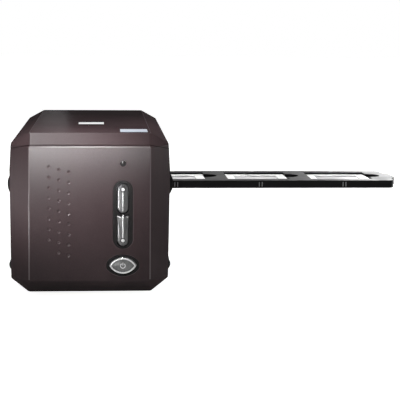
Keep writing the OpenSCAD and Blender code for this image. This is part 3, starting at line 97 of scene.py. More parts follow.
# Power symbol, in millimetres and degrees
ARC_INNER, ARC_OUTER, ARC_START, ARC_END = 1.5, 2.0, 120, 420
BAR_HALF_W, BAR_LOW, BAR_HIGH = 0.25, 0.3, 2.4
GLYPH_LIFT, GLYPH_SINK = 0.06, 0.1

# Camera fitted to the photograph, with its place in millimetres and its turns in degrees
CAMERA_SENSOR, CAMERA_LENS, CAMERA_SHIFT = 36.0, 114.95, -0.15
CAMERA_X, CAMERA_Y, CAMERA_Z = 9.867, -1071.467, 205.94
CAMERA_YAW, CAMERA_PITCH, CAMERA_ROLL = 4.346, 5.374, 0.502


def make_camera():
    data = bpy.data.cameras.new("camera")
    data.sensor_width = CAMERA_SENSOR
    data.lens = CAMERA_LENS
    data.shift_y = CAMERA_SHIFT
    camera = bpy.data.objects.new("camera", data)
    scene.collection.objects.link(camera)
    yaw, pitch, roll = (math.radians(turn) for turn in (CAMERA_YAW, CAMERA_PITCH, CAMERA_ROLL))
    right = Vector((math.cos(yaw), -math.sin(yaw), 0.0))
    level = Vector((math.sin(yaw), math.cos(yaw), 0.0))
    up = Vector((0.0, 0.0, 1.0))
    ahead = level * math.cos(pitch) - up * math.sin(pitch)
    above = up * math.cos(pitch) + level * math.sin(pitch)
    side = right * math.cos(roll) + above * math.sin(roll)
    head = above * math.cos(roll) - right * math.sin(roll)
    camera.matrix_world = Matrix((
        (side.x, head.x, -ahead.x, CAMERA_X * MM),
        (side.y, head.y, -ahead.y, CAMERA_Y * MM),
        (side.z, head.z, -ahead.z, CAMERA_Z * MM),
        (0.0, 0.0, 0.0, 1.0),
    ))
    scene.camera = camera


make_camera()


# Pattern values that colours and gloss run between, and the strength of the relief
NOISE_LOW, NOISE_HIGH = 0.3, 0.7
MIXED_LOW, MIXED_HIGH = 0.35, 0.65
GRAIN_SHARE = 0.55
GRAIN_RELIEF, LINE_RELIEF = 0.35, 0.2
LINE_DEPTH = 0.01
FLAKE_IOR = 4.0


# Small node-tree helpers
def set_input(node, name, value):
    node.inputs[name].default_value = value


def add_node(tree, kind, **values):
    node = tree.nodes.new(kind)
    for name, value in values.items():
        setattr(node, name, value)
    return node


def link(tree, a, a_name, b, b_name):
    tree.links.new(a.outputs[a_name], b.inputs[b_name])


def rgba(colour):
    return (*colour, 1.0)


def grey(level):
    return (level, level, level)


def new_material(name):
    material = bpy.data.materials.new(name)
    material.use_nodes = True
    return material, material.node_tree, material.node_tree.nodes["Principled BSDF"]


def noise(tree, coords, scale, detail=2.0, roughness=0.5):
    node = add_node(tree, "ShaderNodeTexNoise")
    set_input(node, "Scale", scale)
    set_input(node, "Detail", detail)
    set_input(node, "Roughness", roughness)
    link(tree, coords, "Object", node, "Vector")
    return node


def colour_by(tree, shader, source, output, dark, light, low=NOISE_LOW, high=NOISE_HIGH):
    """Let a pattern run the base colour from dark to light."""
    node = add_node(tree, "ShaderNodeValToRGB")
    for element, position, colour in zip(node.color_ramp.elements, (low, high), (dark, light)):
        element.position = position
        element.color = rgba(colour)
    link(tree, source, output, node, "Fac")
    link(tree, node, "Color", shader, "Base Color")


def gloss_by(tree, shader, source, rough):
    """Let a pattern run the roughness between two values."""
    node = add_node(tree, "ShaderNodeMapRange")
    set_input(node, "From Min", NOISE_LOW)
    set_input(node, "From Max", NOISE_HIGH)
    set_input(node, "To Min", rough[0])
    set_input(node, "To Max", rough[1])
    link(tree, source, "Fac", node, "Value")
    link(tree, node, "Result", shader, "Roughness")


def relief_by(tree, shader, source, strength, depth):
    """Let a pattern raise the surface by a depth in millimetres."""
    node = add_node(tree, "ShaderNodeBump")
    set_input(node, "Strength", strength)
    set_input(node, "Distance", depth * MM)
    link(tree, source, "Fac", node, "Height")
    link(tree, node, "Normal", shader, "Normal")


def surface(
    name, dark, light, rough=(0.4, 0.5), grain=900.0, patch=30.0, bump=0.02,
    metallic=0.0, specular=0.5, flake=0.0, flake_rough=0.3,
):
    """Moulded or finished surface: patchy colour, uneven gloss and a fine grain in relief.

    The flake is a share of metal in the lacquer, a neutral gloss that hardly rises towards the edges.
    """
    material, tree, shader = new_material(name)
    coords = add_node(tree, "ShaderNodeTexCoord")
    broad = noise(tree, coords, patch, detail=4.0, roughness=0.6)
    fine = noise(tree, coords, grain, detail=3.0, roughness=0.6)
    mixed = add_node(tree, "ShaderNodeMix", data_type="FLOAT")
    set_input(mixed, "Factor", GRAIN_SHARE)
    link(tree, broad, "Fac", mixed, "A")
    link(tree, fine, "Fac", mixed, "B")
    colour_by(tree, shader, mixed, "Result", dark, light, MIXED_LOW, MIXED_HIGH)
    gloss_by(tree, shader, broad, rough)
    relief_by(tree, shader, fine, GRAIN_RELIEF, bump)
    set_input(shader, "Metallic", metallic)
    set_input(shader, "Specular IOR Level", specular)
    set_input(shader, "Coat Weight", flake)
    set_input(shader, "Coat Roughness", flake_rough)
    set_input(shader, "Coat IOR", FLAKE_IOR)
    return material


def brushed(name, dark, light, stretch, rough=(0.25, 0.4), metallic=1.0):
    """Metal with fine lines drawn along one axis."""
    material, tree, shader = new_material(name)
    coords = add_node(tree, "ShaderNodeTexCoord")
    mapping = add_node(tree, "ShaderNodeMapping")
    set_input(mapping, "Scale", stretch)
    link(tree, coords, "Object", mapping, "Vector")
    lines = add_node(tree, "ShaderNodeTexNoise")
    set_input(lines, "Scale", 1.0)
    set_input(lines, "Detail", 5.0)
    link(tree, mapping, "Vector", lines, "Vector")
    colour_by(tree, shader, lines, "Fac", dark, light)
    gloss_by(tree, shader, lines, rough)
    relief_by(tree, shader, lines, LINE_RELIEF, LINE_DEPTH)
    set_input(shader, "Metallic", metallic)
    return material


def paint(name, flake, flake_rough, highlight_gain=1.0):
    """Satin metallic paint; edges and hollows get a paler, glossier version of it, a painted highlight."""
    dark = tuple(highlight_gain * part for part in (0.022, 0.013, 0.0142))
    light = tuple(highlight_gain * part for part in (0.035, 0.0225, 0.0242))
    return surface(
        name, dark, light, (0.40, 0.46), 2600.0, 14.0, 0.012,
        specular=0.0, flake=flake, flake_rough=flake_rough,
    )


def black(name, specular, flake):
    """Moulded black plastic."""
    return surface(
        name, (0.004, 0.004, 0.0042), (0.009, 0.009, 0.0094), (0.36, 0.5), 1500.0, 40.0, 0.02,
        specular=specular, flake=flake, flake_rough=0.35,
    )


PAINT = paint("casing_paint", 0.025, 0.25)
# Painted highlight: rounded edges of the front and top get a paler, glossier paint, so they show bright
# lines.
EDGE_HIGHLIGHT_PAINT = paint("casing_edge_painted_highlight", 0.14, 0.42, 1.2)
# Painted highlight: hollows and hole edges in the front get a paler, glossier paint, so they catch more
# light.
HOLLOW_HIGHLIGHT_PAINT = paint("casing_hollow_painted_highlight", 0.1, 0.34, 1.5)
INSIDE = surface("inner_plastic", (0.05, 0.042, 0.042), (0.07, 0.06, 0.06), (0.55, 0.65), 700.0)
BLACK = black("black_plastic", 0.0, 0.012)
HOLDER = black("holder_plastic", 0.03, 0.01)
GUIDE = surface(
    "guide_plastic", (0.004, 0.004, 0.004), (0.009, 0.0085, 0.0085), (0.4, 0.52), 1200.0, 40.0, 0.02,
    specular=0.0, flake=0.012, flake_rough=0.4,
)
# Dark bezels; the same dark plastic in the pads round the scan buttons' dots is painted shade.
BEZEL_AND_PAINTED_SHADE = surface(
    "bezel_plastic", (0.006, 0.0055, 0.0055), (0.012, 0.011, 0.011), (0.28, 0.36), 1800.0, 60.0, 0.01,
    specular=0.0, flake=0.02, flake_rough=0.28,
)
FRONT_LINES = (900.0, 900.0, 60.0)
BUTTON = brushed("button_silver", grey(0.07), grey(0.1), FRONT_LINES, (0.26, 0.32), 0.9)
POWER = brushed("power_silver", grey(0.09), grey(0.13), FRONT_LINES, (0.28, 0.34), 0.9)
# Painted highlight: the power button's cap and rim are far paler than its face, standing in for the rim's
# highlight.
POWER_RIM_HIGHLIGHT = brushed("power_rim", grey(0.42), grey(0.52), FRONT_LINES, (0.26, 0.32), 0.9)
RUBBER = surface(
    "rubber", grey(0.012), (0.028, 0.027, 0.027), (0.7, 0.85), 900.0, 80.0, 0.05,
    specular=0.3,
)
WHITE_LABEL = surface(
    "white_label", (0.68, 0.67, 0.67), (0.76, 0.75, 0.75), (0.5, 0.6), 1500.0, 30.0, 0.01,
    specular=0.2,
)
SILVER_LABEL = brushed(
    "silver_label", (0.2, 0.23, 0.29), (0.31, 0.35, 0.42), (50.0, 1500.0, 900.0), (0.3, 0.42), 0.7,
)
SMOKE = surface(
    "smoke_lens", (0.006, 0.005, 0.005), (0.012, 0.010, 0.010), (0.26, 0.3), 300.0, 100.0, 0.002,
    specular=0.35,
)
BOARD = surface("circuit_board", (0.012, 0.10, 0.035), (0.03, 0.19, 0.07), (0.3, 0.42), 500.0, 120.0, 0.04)
CHIP = surface("chip", (0.012, 0.012, 0.013), (0.03, 0.03, 0.032), (0.45, 0.6), 2000.0, 60.0, 0.02)
CAN = brushed("aluminium_can", (0.42, 0.43, 0.47), (0.6, 0.61, 0.66), (60.0, 60.0, 1200.0))
CREAM = surface("cream_plastic", (0.58, 0.54, 0.44), (0.7, 0.67, 0.57), (0.4, 0.5), 900.0)
SHELL = brushed("tinned_shell", (0.45, 0.45, 0.46), (0.66, 0.66, 0.67), (900.0, 60.0, 900.0))
SHEET = brushed("zinc_sheet", (0.36, 0.37, 0.38), (0.55, 0.56, 0.57), (60.0, 700.0, 700.0), (0.35, 0.5))
GROUND = brushed(
    "ground_steel", (0.55, 0.55, 0.56), (0.72, 0.72, 0.73), (1200.0, 60.0, 1200.0), (0.12, 0.22),
)
BRASS = brushed("turned_brass", (0.5, 0.36, 0.13), (0.7, 0.53, 0.24), (300.0, 300.0, 1500.0), (0.2, 0.32))
BRONZE = surface(
    "sintered_bronze", (0.36, 0.23, 0.1), (0.5, 0.34, 0.16), (0.4, 0.55), 1800.0, 100.0, 0.03,
    metallic=1.0,
)
SPRING = brushed("spring_steel", (0.5, 0.5, 0.52), (0.68, 0.68, 0.7), (60.0, 900.0, 900.0), (0.18, 0.3))
MOTOR = brushed("motor_can", (0.3, 0.31, 0.32), (0.46, 0.47, 0.48), (500.0, 60.0, 500.0), (0.28, 0.4))
ACETAL = surface("white_acetal", (0.62, 0.61, 0.56), (0.74, 0.73, 0.69), (0.35, 0.45), 700.0)
CABLE = surface("flat_cable", (0.4, 0.4, 0.42), (0.56, 0.56, 0.58), (0.4, 0.5), 1200.0, 200.0)
MOUNT = surface("slide_mount", (0.76, 0.76, 0.75), (0.84, 0.84, 0.83), (0.3, 0.4), 1300.0, 30.0, 0.01)
MARK = surface("index_mark", (0.2, 0.2, 0.2), (0.28, 0.28, 0.28), (0.5, 0.6), 1500.0)
# The raised symbols and dots; the same pale metal on the scan buttons' crests is a painted highlight.
GLYPH_AND_RIDGE_HIGHLIGHT = surface("raised_glyph_and_ridge_highlight", (0.4, 0.4, 0.4), (0.55, 0.55, 0.55), (0.25, 0.35), 1500.0, metallic=0.6)


def film_material():
    material, tree, shader = new_material("film")
    coords = add_node(tree, "ShaderNodeTexCoord")
    soft = noise(tree, coords, 60.0, detail=3.0)
    colour_by(tree, shader, soft, "Fac", (0.68, 0.68, 0.69), grey(0.8))
    gloss_by(tree, shader, soft, (0.12, 0.2))
    set_input(shader, "Coat Weight", 0.3)
    return material


def glass_material():
    tint, paler = (0.82, 0.88, 0.9), 1.06
    material, tree, shader = new_material("optical_glass")
    coords = add_node(tree, "ShaderNodeTexCoord")
    haze = noise(tree, coords, 120.0)
    colour_by(tree, shader, haze, "Fac", tint, tuple(min(1.0, part * paler) for part in tint))
    gloss_by(tree, shader, haze, (0.02, 0.06))
    set_input(shader, "Transmission Weight", 0.9)
    set_input(shader, "IOR", 1.5)
    return material


FILM = film_material()
GLASS = glass_material()
MIRROR = brushed("front_mirror", (0.84, 0.86, 0.87), (0.9, 0.91, 0.92), (20.0, 20.0, 20.0), (0.02, 0.05))

SLOT_LOOKS = {
    "casing": PAINT, "black_plastic": BLACK, "dark_bezel": BEZEL_AND_PAINTED_SHADE, "silver_button": BUTTON,
    "rubber": RUBBER, "white_label": WHITE_LABEL, "silver_label": SILVER_LABEL,
    "smoke_lens": SMOKE, "circuit_board": BOARD, "chip": CHIP, "can": CAN,
    "cream_plastic": CREAM, "shell_metal": SHELL, "sheet_steel": SHEET,
    "ground_steel": GROUND, "brass": BRASS, "bronze": BRONZE, "spring_steel": SPRING,
    "motor_can": MOTOR, "white_plastic": ACETAL, "cable": CABLE, "mirror": MIRROR,
    "optical_glass": GLASS, "slide_mount": MOUNT, "film": FILM, "mark": MARK,
}
NODE_SLOT = {row["node"]: row["material_slot"] for row in frame["record"]["subparts"]}
BODY_OF = {
    node: body
    for body, members in frame["record"]["behaviour"]["bodies"].items()
    for node in members
}
NODE_LOOKS = {node: SLOT_LOOKS[slot] for node, slot in NODE_SLOT.items()}
NODE_LOOKS["slot_bezel_left"] = GUIDE
NODE_LOOKS["slot_bezel_right"] = GUIDE
# Painted highlight on the power button's rim.
NODE_LOOKS["power_button"] = POWER_RIM_HIGHLIGHT
NODE_LOOKS["holder_frame"] = HOLDER
NODE_LOOKS["screw_wells"] = INSIDE
NODE_LOOKS["floor_bosses"] = INSIDE

for name, thing in nodes.items():
    thing.data.materials.clear()
    thing.data.materials.append(NODE_LOOKS[name])


# Mesh helpers
def object_from(bm, name, material):
    mesh = bpy.data.meshes.new(name)
    bm.to_mesh(mesh)
    bm.free()
    mesh.materials.append(material)
    thing = bpy.data.objects.new(name, mesh)
    scene.collection.objects.link(thing)
    return thing


def smooth(thing, angle):
    for polygon in thing.data.polygons:
        polygon.use_smooth = True
    thing.data.set_sharp_from_angle(angle=math.radians(angle))


def stand_for(thing, node):
    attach(thing, BODY_OF[node])
    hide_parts(node)


def node_bmesh(node):
    bm = bmesh.new()
    bm.from_mesh(nodes[node].data)
    bmesh.ops.remove_doubles(bm, verts=bm.verts, dist=NODE_WELD)
    bmesh.ops.dissolve_limit(bm, angle_limit=math.radians(NODE_FLATTEN), verts=bm.verts, edges=bm.edges)
    return bm


def evaluated(thing):
    graph = bpy.context.evaluated_depsgraph_get()
    return bpy.data.meshes.new_from_object(thing.evaluated_get(graph))


def finished(thing, node):
    """Smooth a dressed piece, keep its flats flat and let it stand for its solid."""
    smooth(thing, PIECE_SMOOTH)
    weighted = thing.modifiers.new("flats", "WEIGHTED_NORMAL")
    weighted.keep_sharp = True
    stand_for(thing, node)


def round_edges(bm, edges, width, segments):
    bmesh.ops.bevel(bm, geom=edges, offset=width * MM, segments=segments, profile=0.5, affect="EDGES")


def softened(node, width):
    """A copy of a solid with its edges rounded over, standing for the solid."""
    thing = object_from(node_bmesh(node), node + "_soft", NODE_LOOKS[node])
    bevel = thing.modifiers.new("edges", "BEVEL")
    bevel.width = width * MM
    bevel.segments = 2
    bevel.limit_method = "ANGLE"
    bevel.angle_limit = math.radians(BEVEL_ANGLE)
    bevel.use_clamp_overlap = True
    mesh = evaluated(thing)
    thing.modifiers.clear()
    thing.data = mesh
    finished(thing, node)


# The casing's outer planes, as a point and an outward direction each
def outline_planes(points, place):
    planes = []
    for a, b in zip(points, points[1:] + points[:1]):
        along = (b[0] - a[0], b[1] - a[1])
        planes.append((place(*a), place(along[1], -along[0]).normalized()))
    return planes


def mirrored(points):
    return points + [(-x, y) for x, y in reversed(points)]


def has_plane(planes, point, out):
    return any(out.dot(o) > SAME_DIRECTION and abs((point - p).dot(o)) < SAME_PLANE for p, o in planes)


def casing_planes():
    section = mirrored([
        (BOTTOM_W / 2, Z_BOTTOM),
        (HALF_W - DRAFT_BOTTOM, Z_BOTTOM + BOTTOM_CHAMFER),
        (HALF_W, WIDEST_Z),
        (HALF_W - DRAFT_TOP, Z_TOP - TOP_CHAMFER),
        (TOP_W / 2, Z_TOP),
    ])
    plan = mirrored([
        (FACE_W / 2, -HALF_D),
        (HALF_W, FRONT_SPLIT),
        (HALF_W, REAR_SPLIT),
        (REAR_W / 2, HALF_D),
    ])
    profile = [
        (FRONT_SPLIT, Z_BOTTOM), (REAR_SPLIT, Z_BOTTOM), (HALF_D, REAR_Z0), (HALF_D, REAR_Z1),
        (REAR_SPLIT, Z_TOP), (FRONT_SPLIT, Z_TOP), (-HALF_D, FACE_Z1), (-HALF_D, FACE_Z0),
    ]
    planes = outline_planes(section, lambda x, z: Vector((x, 0.0, z)))
    planes += outline_planes(plan, lambda x, y: Vector((x, y, 0.0)))
    planes += outline_planes(profile, lambda y, z: Vector((0.0, y, z)))
    middle = Vector((0.0, 0.0, (Z_BOTTOM + Z_TOP) / 2))
    for side, front, high in itertools.product((-1, 1), (True, False), (True, False)):
        split = FRONT_SPLIT if front else REAR_SPLIT
        a = Vector((
            side * (HALF_W - (DRAFT_TOP if high else DRAFT_BOTTOM)),
            split,
            Z_TOP - TOP_CHAMFER if high else Z_BOTTOM + BOTTOM_CHAMFER,
        ))
        b = Vector((
            side * (FACE_W if front else REAR_W) / 2,
            -HALF_D if front else HALF_D,
            (FACE_Z1 if front else REAR_Z1) if high else (FACE_Z0 if front else REAR_Z0),
        ))
        c = Vector((side * (TOP_W if high else BOTTOM_W) / 2, split, Z_TOP if high else Z_BOTTOM))
        out = (b - a).cross(c - a).normalized()
        if out.dot(a - middle) < 0:
            out.negate()
        planes.append((a - out * CORNER_CUT, out))
    unique = []
    for point, out in planes:
        if not has_plane(unique, point, out):
            unique.append((point, out))
    return unique


def rounded_casing(outside, radius, shrink):
    """Convex solid inside the casing's planes, with every edge rounded to the radius."""
    planes = [(out, point.dot(out) - radius - shrink) for point, out in outside]
    corners = []
    for trio in itertools.combinations(range(len(planes)), 3):
        rows = Matrix([planes[i][0] for i in trio])
        if abs(rows.determinant()) < LEAST_DETERMINANT:
            continue
        corner = rows.inverted() @ Vector([planes[i][1] for i in trio])
        if all(corner.dot(out) < limit + SAME_PLANE for out, limit in planes):
            corners.append(corner)
    bm = bmesh.new()
    for corner in corners:
        touching = [out for out, limit in planes if abs(corner.dot(out) - limit) < ON_CORNER]
        for a, b in itertools.combinations(touching, 2):
            turn = a.rotation_difference(b)
            for i in range(ROUND_STEPS + 1):
                out = Quaternion().slerp(turn, i / ROUND_STEPS) @ a
                bm.verts.new((corner + out * radius) * MM)
    bmesh.ops.remove_doubles(bm, verts=bm.verts, dist=CUT_WELD)
    hull = bmesh.ops.convex_hull(bm, input=bm.verts)
    spare = hull["geom_interior"] + hull["geom_unused"]
    loose = {v for v in spare if isinstance(v, bmesh.types.BMVert)}
    bmesh.ops.delete(bm, geom=list(loose), context="VERTS")
    bmesh.ops.dissolve_limit(bm, angle_limit=math.radians(TOOL_FLATTEN), verts=bm.verts, edges=bm.edges)
    bmesh.ops.recalc_face_normals(bm, faces=bm.faces)
    return object_from(bm, "casing_tool", PAINT)


def edge_look(polygon, planes):
    """Material number: 1 on rounded edges of the front and top, 2 in hollows of the front, else 0; 1 and 2
    are the paler, glossier paints of the painted highlights.
    """
    centre = polygon.center / MM
    near = [out for point, out in planes if -EDGE_R < (centre - point).dot(out)]
    if not near or any(abs(out.x) > SIDE_COS or out.z < -SLOPED_MIN for out in near):
        return 0
    front = any(-out.y > FLAT_COS for out in near)
    if len(near) == 1:
        return 2 if front and -SLOPED_MAX < polygon.normal.y < -SLOPED_MIN else 0
    high = any(out.z > FLAT_COS for out in near)
    on_edge = any(polygon.normal.dot(out) > EDGE_COS for out in near)
    return 1 if on_edge and (front or high) else 0


def round_hole_edges(bm):
    """Round the edges where holes and pockets break through the front face."""
    edges = []
    for edge in bm.edges:
        if any(abs(v.co.y / MM + HALF_D) > ON_FACE for v in edge.verts):
            continue
        if any(abs(face.normal.y) < WALL_COS for face in edge.link_faces):
            edges.append(edge)
    round_edges(bm, edges, HOLE_EDGE, 3)


def plane_under(mesh, polygon, planes):
    """Outward direction of the casing plane a polygon lies on, or None."""
    corners = [mesh.vertices[i].co / MM for i in polygon.vertices]
    for point, out in planes:
        if all(abs((corner - point).dot(out)) < PLANE_GAP for corner in corners):
            return out
    return None


def merge_slivers(mesh):
    """Join what the cut leaves: doubled points, slivers and split flats."""
    bm = bmesh.new()
    bm.from_mesh(mesh)
    bmesh.ops.remove_doubles(bm, verts=bm.verts, dist=CUT_WELD)
    bmesh.ops.dissolve_degenerate(bm, edges=bm.edges, dist=CUT_WELD)
    bmesh.ops.dissolve_limit(bm, angle_limit=math.radians(CUT_FLATTEN), verts=bm.verts, edges=bm.edges)
    bm.to_mesh(mesh)
    bm.free()


def casing_piece(node, tool, planes):
    """A casing solid with its outer edges rounded, painted by place with painted highlights on its edges
    and hollows, and flat on its outer planes.
    """
    bm = node_bmesh(node)
    if node == "front_panel":
        round_hole_edges(bm)
    thing = object_from(bm, node + "_shell", NODE_LOOKS[node])
    cut = thing.modifiers.new("round", "BOOLEAN")
    cut.operation = "INTERSECT"
    cut.solver = "EXACT"
    cut.object = tool
    mesh = evaluated(thing)
    thing.modifiers.clear()
    thing.data = mesh
    merge_slivers(mesh)
    mesh.materials.clear()
    for look in (PAINT, EDGE_HIGHLIGHT_PAINT, HOLLOW_HIGHLIGHT_PAINT):
        mesh.materials.append(look)
    smooth(thing, CASING_SMOOTH)
    normals = [Vector((0.0, 0.0, 0.0))] * len(mesh.loops)
    for polygon in mesh.polygons:
        out = plane_under(mesh, polygon, planes)
        polygon.use_smooth = out is None
        polygon.material_index = 0 if out else edge_look(polygon, planes)
        if out:
            for i in polygon.loop_indices:
                normals[i] = out
    mesh.normals_split_custom_set(normals)
    stand_for(thing, node)


outside = casing_planes()
tool = rounded_casing(outside, EDGE_R, SHELL_SHRINK)
for name in ("base_tub", "top_cover", "front_panel", "rear_panel"):
    casing_piece(name, tool, outside)
bpy.data.objects.remove(tool)

# Rounding of the other outer pieces, in millimetres
SOFT_EDGES = {
    "slot_bezel_left": 0.5, "slot_bezel_right": 0.5, "scan_button_bezel": 0.25,
    "power_button_bezel": 0.25, "rubber_feet": 0.3, "side_bumpers": 0.4, "holder_frame": 0.35,
    "slide_mounts": 0.2, "usb_socket": 0.15, "power_jack": 0.2,
}
for name, width in SOFT_EDGES.items():
    softened(name, width)


# Buttons
def facing(face):
    return -face.normal.y


def cap_edges(bm, wanted):
    """Edges of a button's cap whose two faces suit the test."""
    found = []
    for edge in bm.edges:
        if len(edge.link_faces) == 2 and all(v.co.y / MM < -HALF_D for v in edge.verts):
            if wanted(*sorted(facing(face) for face in edge.link_faces)):
                found.append(edge)
    return found


def scan_button(node):
    """Ridged cap with a full round at its rim and a soft crest."""
    bm = node_bmesh(node)
    rim = cap_edges(bm, lambda a, b: a < WALL_FACING and b > CAP_FACING)
    round_edges(bm, rim, SCAN_EDGE, 4)
    for v in bm.verts:
        if v.co.y < CAP_BACK * MM:
            side = min(max(v.co.x / MM - CONTROL_X, -SCAN_W / 2), SCAN_W / 2)
            v.co.x = (CONTROL_X + side) * MM
    crest = []
    for edge in bm.edges:
        on_line = all(abs(v.co.x / MM - CONTROL_X) < ON_CREST for v in edge.verts)
        if on_line and all(v.co.y / MM < -HALF_D - CREST_OUT for v in edge.verts):
            crest.append(edge)
    round_edges(bm, crest, RIDGE_EDGE, 3)
    finished(object_from(bm, node + "_soft", NODE_LOOKS[node]), node)


def lathe(bm, centre, profile):
    """Surface turned about the front-to-back line through the centre."""
    rings = []
    for radius, depth in profile:
        ring = []
        for i in range(TURN_STEPS):
            angle = 2 * math.pi * i / TURN_STEPS
            x = centre[0] + radius * math.cos(angle)
            z = centre[1] + radius * math.sin(angle)
            ring.append(bm.verts.new((x * MM, depth * MM, z * MM)))
        rings.append(ring)
    for a, b in zip(rings, rings[1:]):
        for i in range(TURN_STEPS):
            j = (i + 1) % TURN_STEPS
            bm.faces.new((a[i], a[j], b[j], b[i]))
    bm.faces.new(rings[0])
    bm.faces.new(list(reversed(rings[-1])))
    bmesh.ops.recalc_face_normals(bm, faces=bm.faces)


def turned_mark(name, body, centre, profile, material):
    bm = bmesh.new()
    lathe(bm, centre, profile)
    thing = object_from(bm, name, material)
    smooth(thing, PIECE_SMOOTH)
    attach(thing, body)


def ridge_highlight_bead(name, body, z_low, z_high):
    """Half-round bead along the crest of a scan button, pale: a painted highlight on the ridge."""
    bm = bmesh.new()
    top = -HALF_D - SCAN_OUT
    rows = []
    for z in (z_low, z_high):
        row = []
        for i in range(RIDGE_STEPS + 1):
            angle = math.pi * i / RIDGE_STEPS
            x = CONTROL_X - RIDGE_W / 2 * math.cos(angle)
            y = top + RIDGE_W / 2 * (1 - math.sin(angle))
            row.append(bm.verts.new((x * MM, y * MM, z * MM)))
        rows.append(row)
    for i in range(RIDGE_STEPS):
        bm.faces.new((rows[0][i], rows[0][i + 1], rows[1][i + 1], rows[1][i]))
    bm.faces.new((rows[0][0], rows[1][0], rows[1][-1], rows[0][-1]))
    for row in rows:
        bm.faces.new(row)
    bmesh.ops.recalc_face_normals(bm, faces=bm.faces)
    thing = object_from(bm, name, GLYPH_AND_RIDGE_HIGHLIGHT)
    smooth(thing, PIECE_SMOOTH)
    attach(thing, body)


def scan_marks(name, body, dot_z, far_z):
    """Pale bead along the crest, a painted highlight, that ends in a round dot on a dark pad, a painted
    shade round the dot.
    """
    top = -HALF_D - SCAN_OUT
    place = (CONTROL_X, dot_z)
    pad = [
        (PAD_R, top + PAD_FOOT), (PAD_R, top + PAD_SHOULDER),
        (PAD_R - PAD_CHAMFER, top + PAD_TOP), (PAD_CENTRE_R, top + PAD_TOP),
    ]
    dot = [
        (DOT_R, top + DOT_FOOT), (DOT_R, top + DOT_SHOULDER),
        (0.8 * DOT_R, top + DOT_CROWN), (0.5 * DOT_R, top),
    ]
    # Painted shade: the dark pad stands in for the shade of a groove round the dot.
    turned_mark(name + "_shade_pad", body, place, pad, BEZEL_AND_PAINTED_SHADE)
    turned_mark(name + "_dot", body, place, dot, GLYPH_AND_RIDGE_HIGHLIGHT)
    away = math.copysign(PAD_R, far_z - dot_z)
    ridge_highlight_bead(name + "_ridge_highlight", body, *sorted((dot_z + away, far_z)))


scan_button("scan_button_upper")
scan_button("scan_button_lower")
low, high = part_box("scan_button_upper")
scan_marks("scan_upper", "scan_upper", high[2] / MM - DOT_FROM_END, low[2] / MM + DOT_FROM_END / 2)
low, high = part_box("scan_button_lower")
scan_marks("scan_lower", "scan_lower", low[2] / MM + DOT_FROM_END, high[2] / MM - DOT_FROM_END / 2)


def eye_arc(w, h):
    """Radius of the two arcs of an eye shape, and how far their centres lie from its long axis."""
    radius = (w * w / 4 + h * h / 4) / h
    return radius, radius - h / 2


def eye_outline(w, h, inset):
    """Closed outline of two arcs that meet at the left and right tips, moved inwards."""
    radius, drop = eye_arc(w, h)
    radius -= inset
    tip = math.sqrt(radius * radius - drop * drop)
    points = []
    for i in range(2 * EYE_STEPS):
        x = tip * math.cos(math.pi * i / EYE_STEPS)
        z = math.sqrt(radius * radius - x * x) - drop
        points.append((x, z if i < EYE_STEPS else -z))
    return points


def on_eye(edge, middle):
    """True for an edge on the outer outline of the power button, not on its dish."""
    radius, drop = eye_arc(POWER_W, POWER_H)
    ends = [(v.co.x / MM - CONTROL_X, v.co.z / MM - middle) for v in edge.verts]
    return all(math.hypot(x, abs(z) + drop) > radius - POWER_RIM / 2 for x, z in ends)


def power_button(middle):
    """Cap with a chamfered rim and a deeper dish, which holds the domed face."""
    bm = node_bmesh("power_button")
    dish = -HALF_D - POWER_OUT + POWER_DISH
    for v in bm.verts:
        if abs(v.co.y / MM - dish) < ON_DISH:
            v.co.y += POWER_SINK * MM
    bm.normal_update()
    rim = cap_edges(bm, lambda a, b: abs(a) < WALL_FACING and b > CAP_FACING)
    rim = [edge for edge in rim if all(v.co.y / MM < dish - RIM_OUT for v in edge.verts)]
    outer = [edge for edge in rim if on_eye(edge, middle)]
    round_edges(bm, outer, POWER_CHAMFER, 2)
    finished(object_from(bm, "power_button_soft", NODE_LOOKS["power_button"]), "power_button")


def power_face(x, z):
    """Domed face in the dish of the power button."""
    bm = bmesh.new()
    edge = -HALF_D - POWER_OUT + POWER_DISH + POWER_SINK - FACE_LIFT
    outline = eye_outline(POWER_W, POWER_H, POWER_RIM)
    rings = []
    for share in FACE_RINGS:
        y = edge - POWER_DOME * (1 - share * share)
        points = [(x + share * u, y, z + share * w) for u, w in outline]
        rings.append([bm.verts.new((u * MM, v * MM, w * MM)) for u, v, w in points])
    for a, b in zip(rings, rings[1:]):
        for i in range(len(a)):
            j = (i + 1) % len(a)
            bm.faces.new((a[i], a[j], b[j], b[i]))
    bm.faces.new(rings[-1])
    bmesh.ops.recalc_face_normals(bm, faces=bm.faces)
    if sum(face.normal.y for face in bm.faces) > 0:
        bmesh.ops.reverse_faces(bm, faces=bm.faces)
    thing = object_from(bm, "power_face", POWER)
    smooth(thing, PIECE_SMOOTH)
    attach(thing, "power")


def ring_mark(name, body, centre, inner, outer, start, end, depth):
    """Flat arc on a surface facing the front."""
    bm = bmesh.new()
    rows = []
    for i in range(ARC_STEPS + 1):
        angle = math.radians(start + (end - start) * i / ARC_STEPS)
        row = []
        for radius in (inner, outer):
            x = centre[0] + radius * math.cos(angle)
            z = centre[1] + radius * math.sin(angle)
            row.append(bm.verts.new((x * MM, (depth - GLYPH_LIFT) * MM, z * MM)))
            row.append(bm.verts.new((x * MM, (depth + GLYPH_SINK) * MM, z * MM)))
        rows.append(row)
    for a, b in zip(rows, rows[1:]):
        bm.faces.new((a[0], a[2], b[2], b[0]))
        bm.faces.new((a[2], a[3], b[3], b[2]))
        bm.faces.new((a[3], a[1], b[1], b[3]))
        bm.faces.new((a[1], a[0], b[0], b[1]))
    for row in (rows[0], rows[-1]):
        bm.faces.new((row[0], row[1], row[3], row[2]))
    bmesh.ops.recalc_face_normals(bm, faces=bm.faces)
    thing = object_from(bm, name, GLYPH_AND_RIDGE_HIGHLIGHT)
    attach(thing, body)


